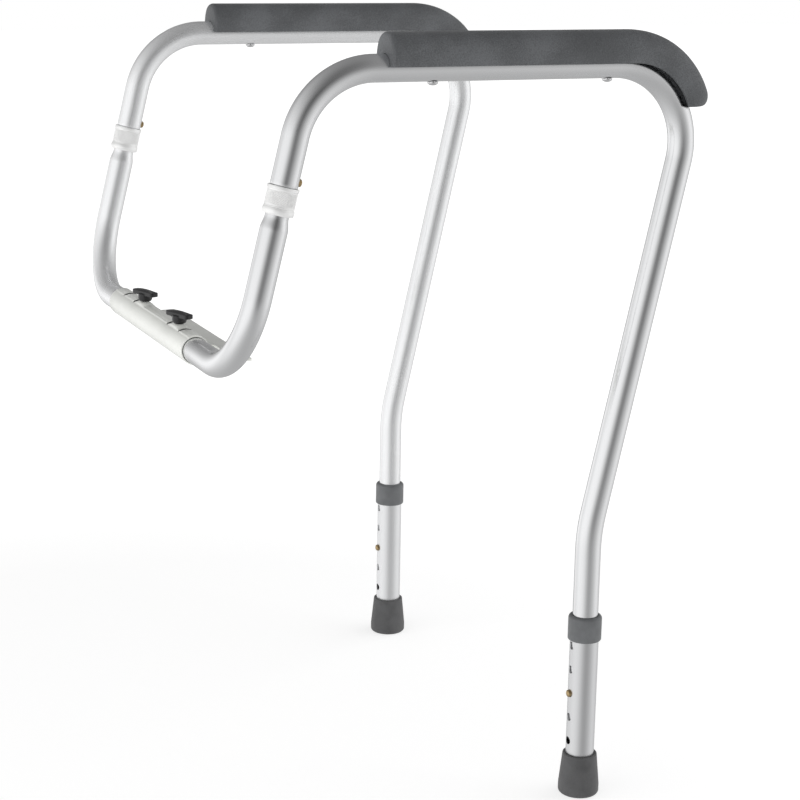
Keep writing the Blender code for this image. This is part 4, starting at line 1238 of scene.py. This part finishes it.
def wing_section(place, base):
    """The bar's cross section at a place along it, as (y, z) points over a base height.

    Each top edge rolls over by 60 degrees, and the crown rises from where the roll ends.
    """
    inset = WING_LENGTH / 2 - abs(place)
    share = abs(place) / (WING_LENGTH / 2)
    half = WING_WIDTH / 2 - rolled(inset, WING_CORNER)
    drop = rolled(inset, WING_ROLL)
    low = base + WING_RISE * share + drop
    high = base + WING_THICKNESS - drop
    crown = WING_CROWN * (1 - share**2)
    across = half - WING_ROLL
    points = arc(-across, low + WING_ROLL, WING_ROLL, 180, 270, 5)
    points += arc(across, low + WING_ROLL, WING_ROLL, 270, 360, 5)
    points += arc(across, high - WING_ROLL, WING_ROLL, 0, 60, 5)
    steps = 12
    side = across + WING_ROLL * 0.5
    fall = WING_ROLL * 0.134
    for index in range(1, steps):
        y = side * (1 - 2 * index / steps)
        points.append((y, high - fall + (crown + fall) * (1 - (y / side) ** 2)))
    return points + arc(-across, high - WING_ROLL, WING_ROLL, 120, 180, 5)


def make_wing_knob(prefix):
    """A black bar with a crowned top, rounded ends and a round hub under it."""
    hub_low = BOSS_TOP + KNOB_LIFT
    wing_low = hub_low + HUB_HEIGHT
    reach = WING_LENGTH / 2
    insets = [WING_CORNER * (1 - cos(pi * index / 24)) for index in range(13)]
    half_places = [reach - inset for inset in insets]
    inner = half_places[-1]
    half_places += [inner * (1 - index / 14) for index in range(1, 14)]
    places = half_places + [0.0] + [-x for x in half_places[::-1]]
    rows = [[(x, y, z) for y, z in wing_section(x, wing_low)] for x in places[::-1]]
    obj = new_object(prefix + "_wing_knob_moulded", flat_faced(skin("knob", rows)))
    hub_top = wing_low + WING_THICKNESS * 0.5
    hub = [(0, hub_low), (HUB_FOOT_RADIUS - 0.0004, hub_low), (HUB_FOOT_RADIUS, hub_low + 0.0004),
           (HUB_RADIUS - 0.0001, hub_low + HUB_FLARE), (HUB_RADIUS, hub_low + HUB_FLARE + 0.0006),
           (HUB_RADIUS, hub_top - 0.0005), (HUB_RADIUS - 0.0005, hub_top), (0, hub_top)]
    carve(obj, [turned("hub", hub)], "UNION")
    depth = hub_low + STUD_IN_KNOB + PART_GAP
    carve(obj, [rod("socket", STUD_RADIUS + PART_GAP, 0, depth, 32)])
    obj.data.transform(sleeve_spot(KNOB_PLACES[prefix]) @ Matrix.Rotation(KNOB_TURN, 4, "Z"))
    settle(obj, prefix + "_wing_knob", "knob", 40)


def make_side(prefix, side):
    make_arm_tube(prefix, side)
    make_rear_tube(prefix, side)
    make_lower_leg(prefix, side)
    make_lock_ring(prefix, side)
    seats = button_seats(side)
    make_button(prefix, "rear_button", NECK_BORE, TUBE_RADIUS, *seats["rear_button"])
    make_button(prefix, "leg_button", TUBE_BORE, SLEEVE_RADIUS, *seats["leg_button"])
    make_leg_collar(prefix, side)
    make_rubber_tip(prefix, side)
    make_pad_screws(prefix, side)
    make_arm_pad(prefix, side)
    make_stud(prefix)
    make_wing_knob(prefix)


def dress_hidden_parts():
    """Finishes for the solids that stay as they are, most of them out of sight."""
    kept = {
        "clamp_nut": "steel",
        "stub_plug": "plug",
        "pad_nut_front": "brass",
        "pad_nut_rear": "brass",
        "rear_button_spring": "spring",
        "leg_button_spring": "spring",
        "tip_washer": "steel",
    }
    for prefix in SIDES:
        for kind, finish in kept.items():
            mesh = frame["nodes"][prefix + "_" + kind].data
            mesh.materials.clear()
            mesh.materials.append(FINISHES[finish])


bpy.context.scene.view_settings.view_transform = "Standard"
make_camera()
make_world()
make_floor()
add_softbox("softbox_rear", (-0.55, 1.20, 0.40), (-0.3, 0.0, 0.05), 2.2, 1.5, 1.0)
add_softbox("softbox_front", (-0.1, -1.50, 0.45), (0.0, 0.0, 0.05), 2.0, 1.6, 1.1)
make_bracket()
for side_name, side_sign in SIDES.items():
    make_side(side_name, side_sign)
dress_hidden_parts()
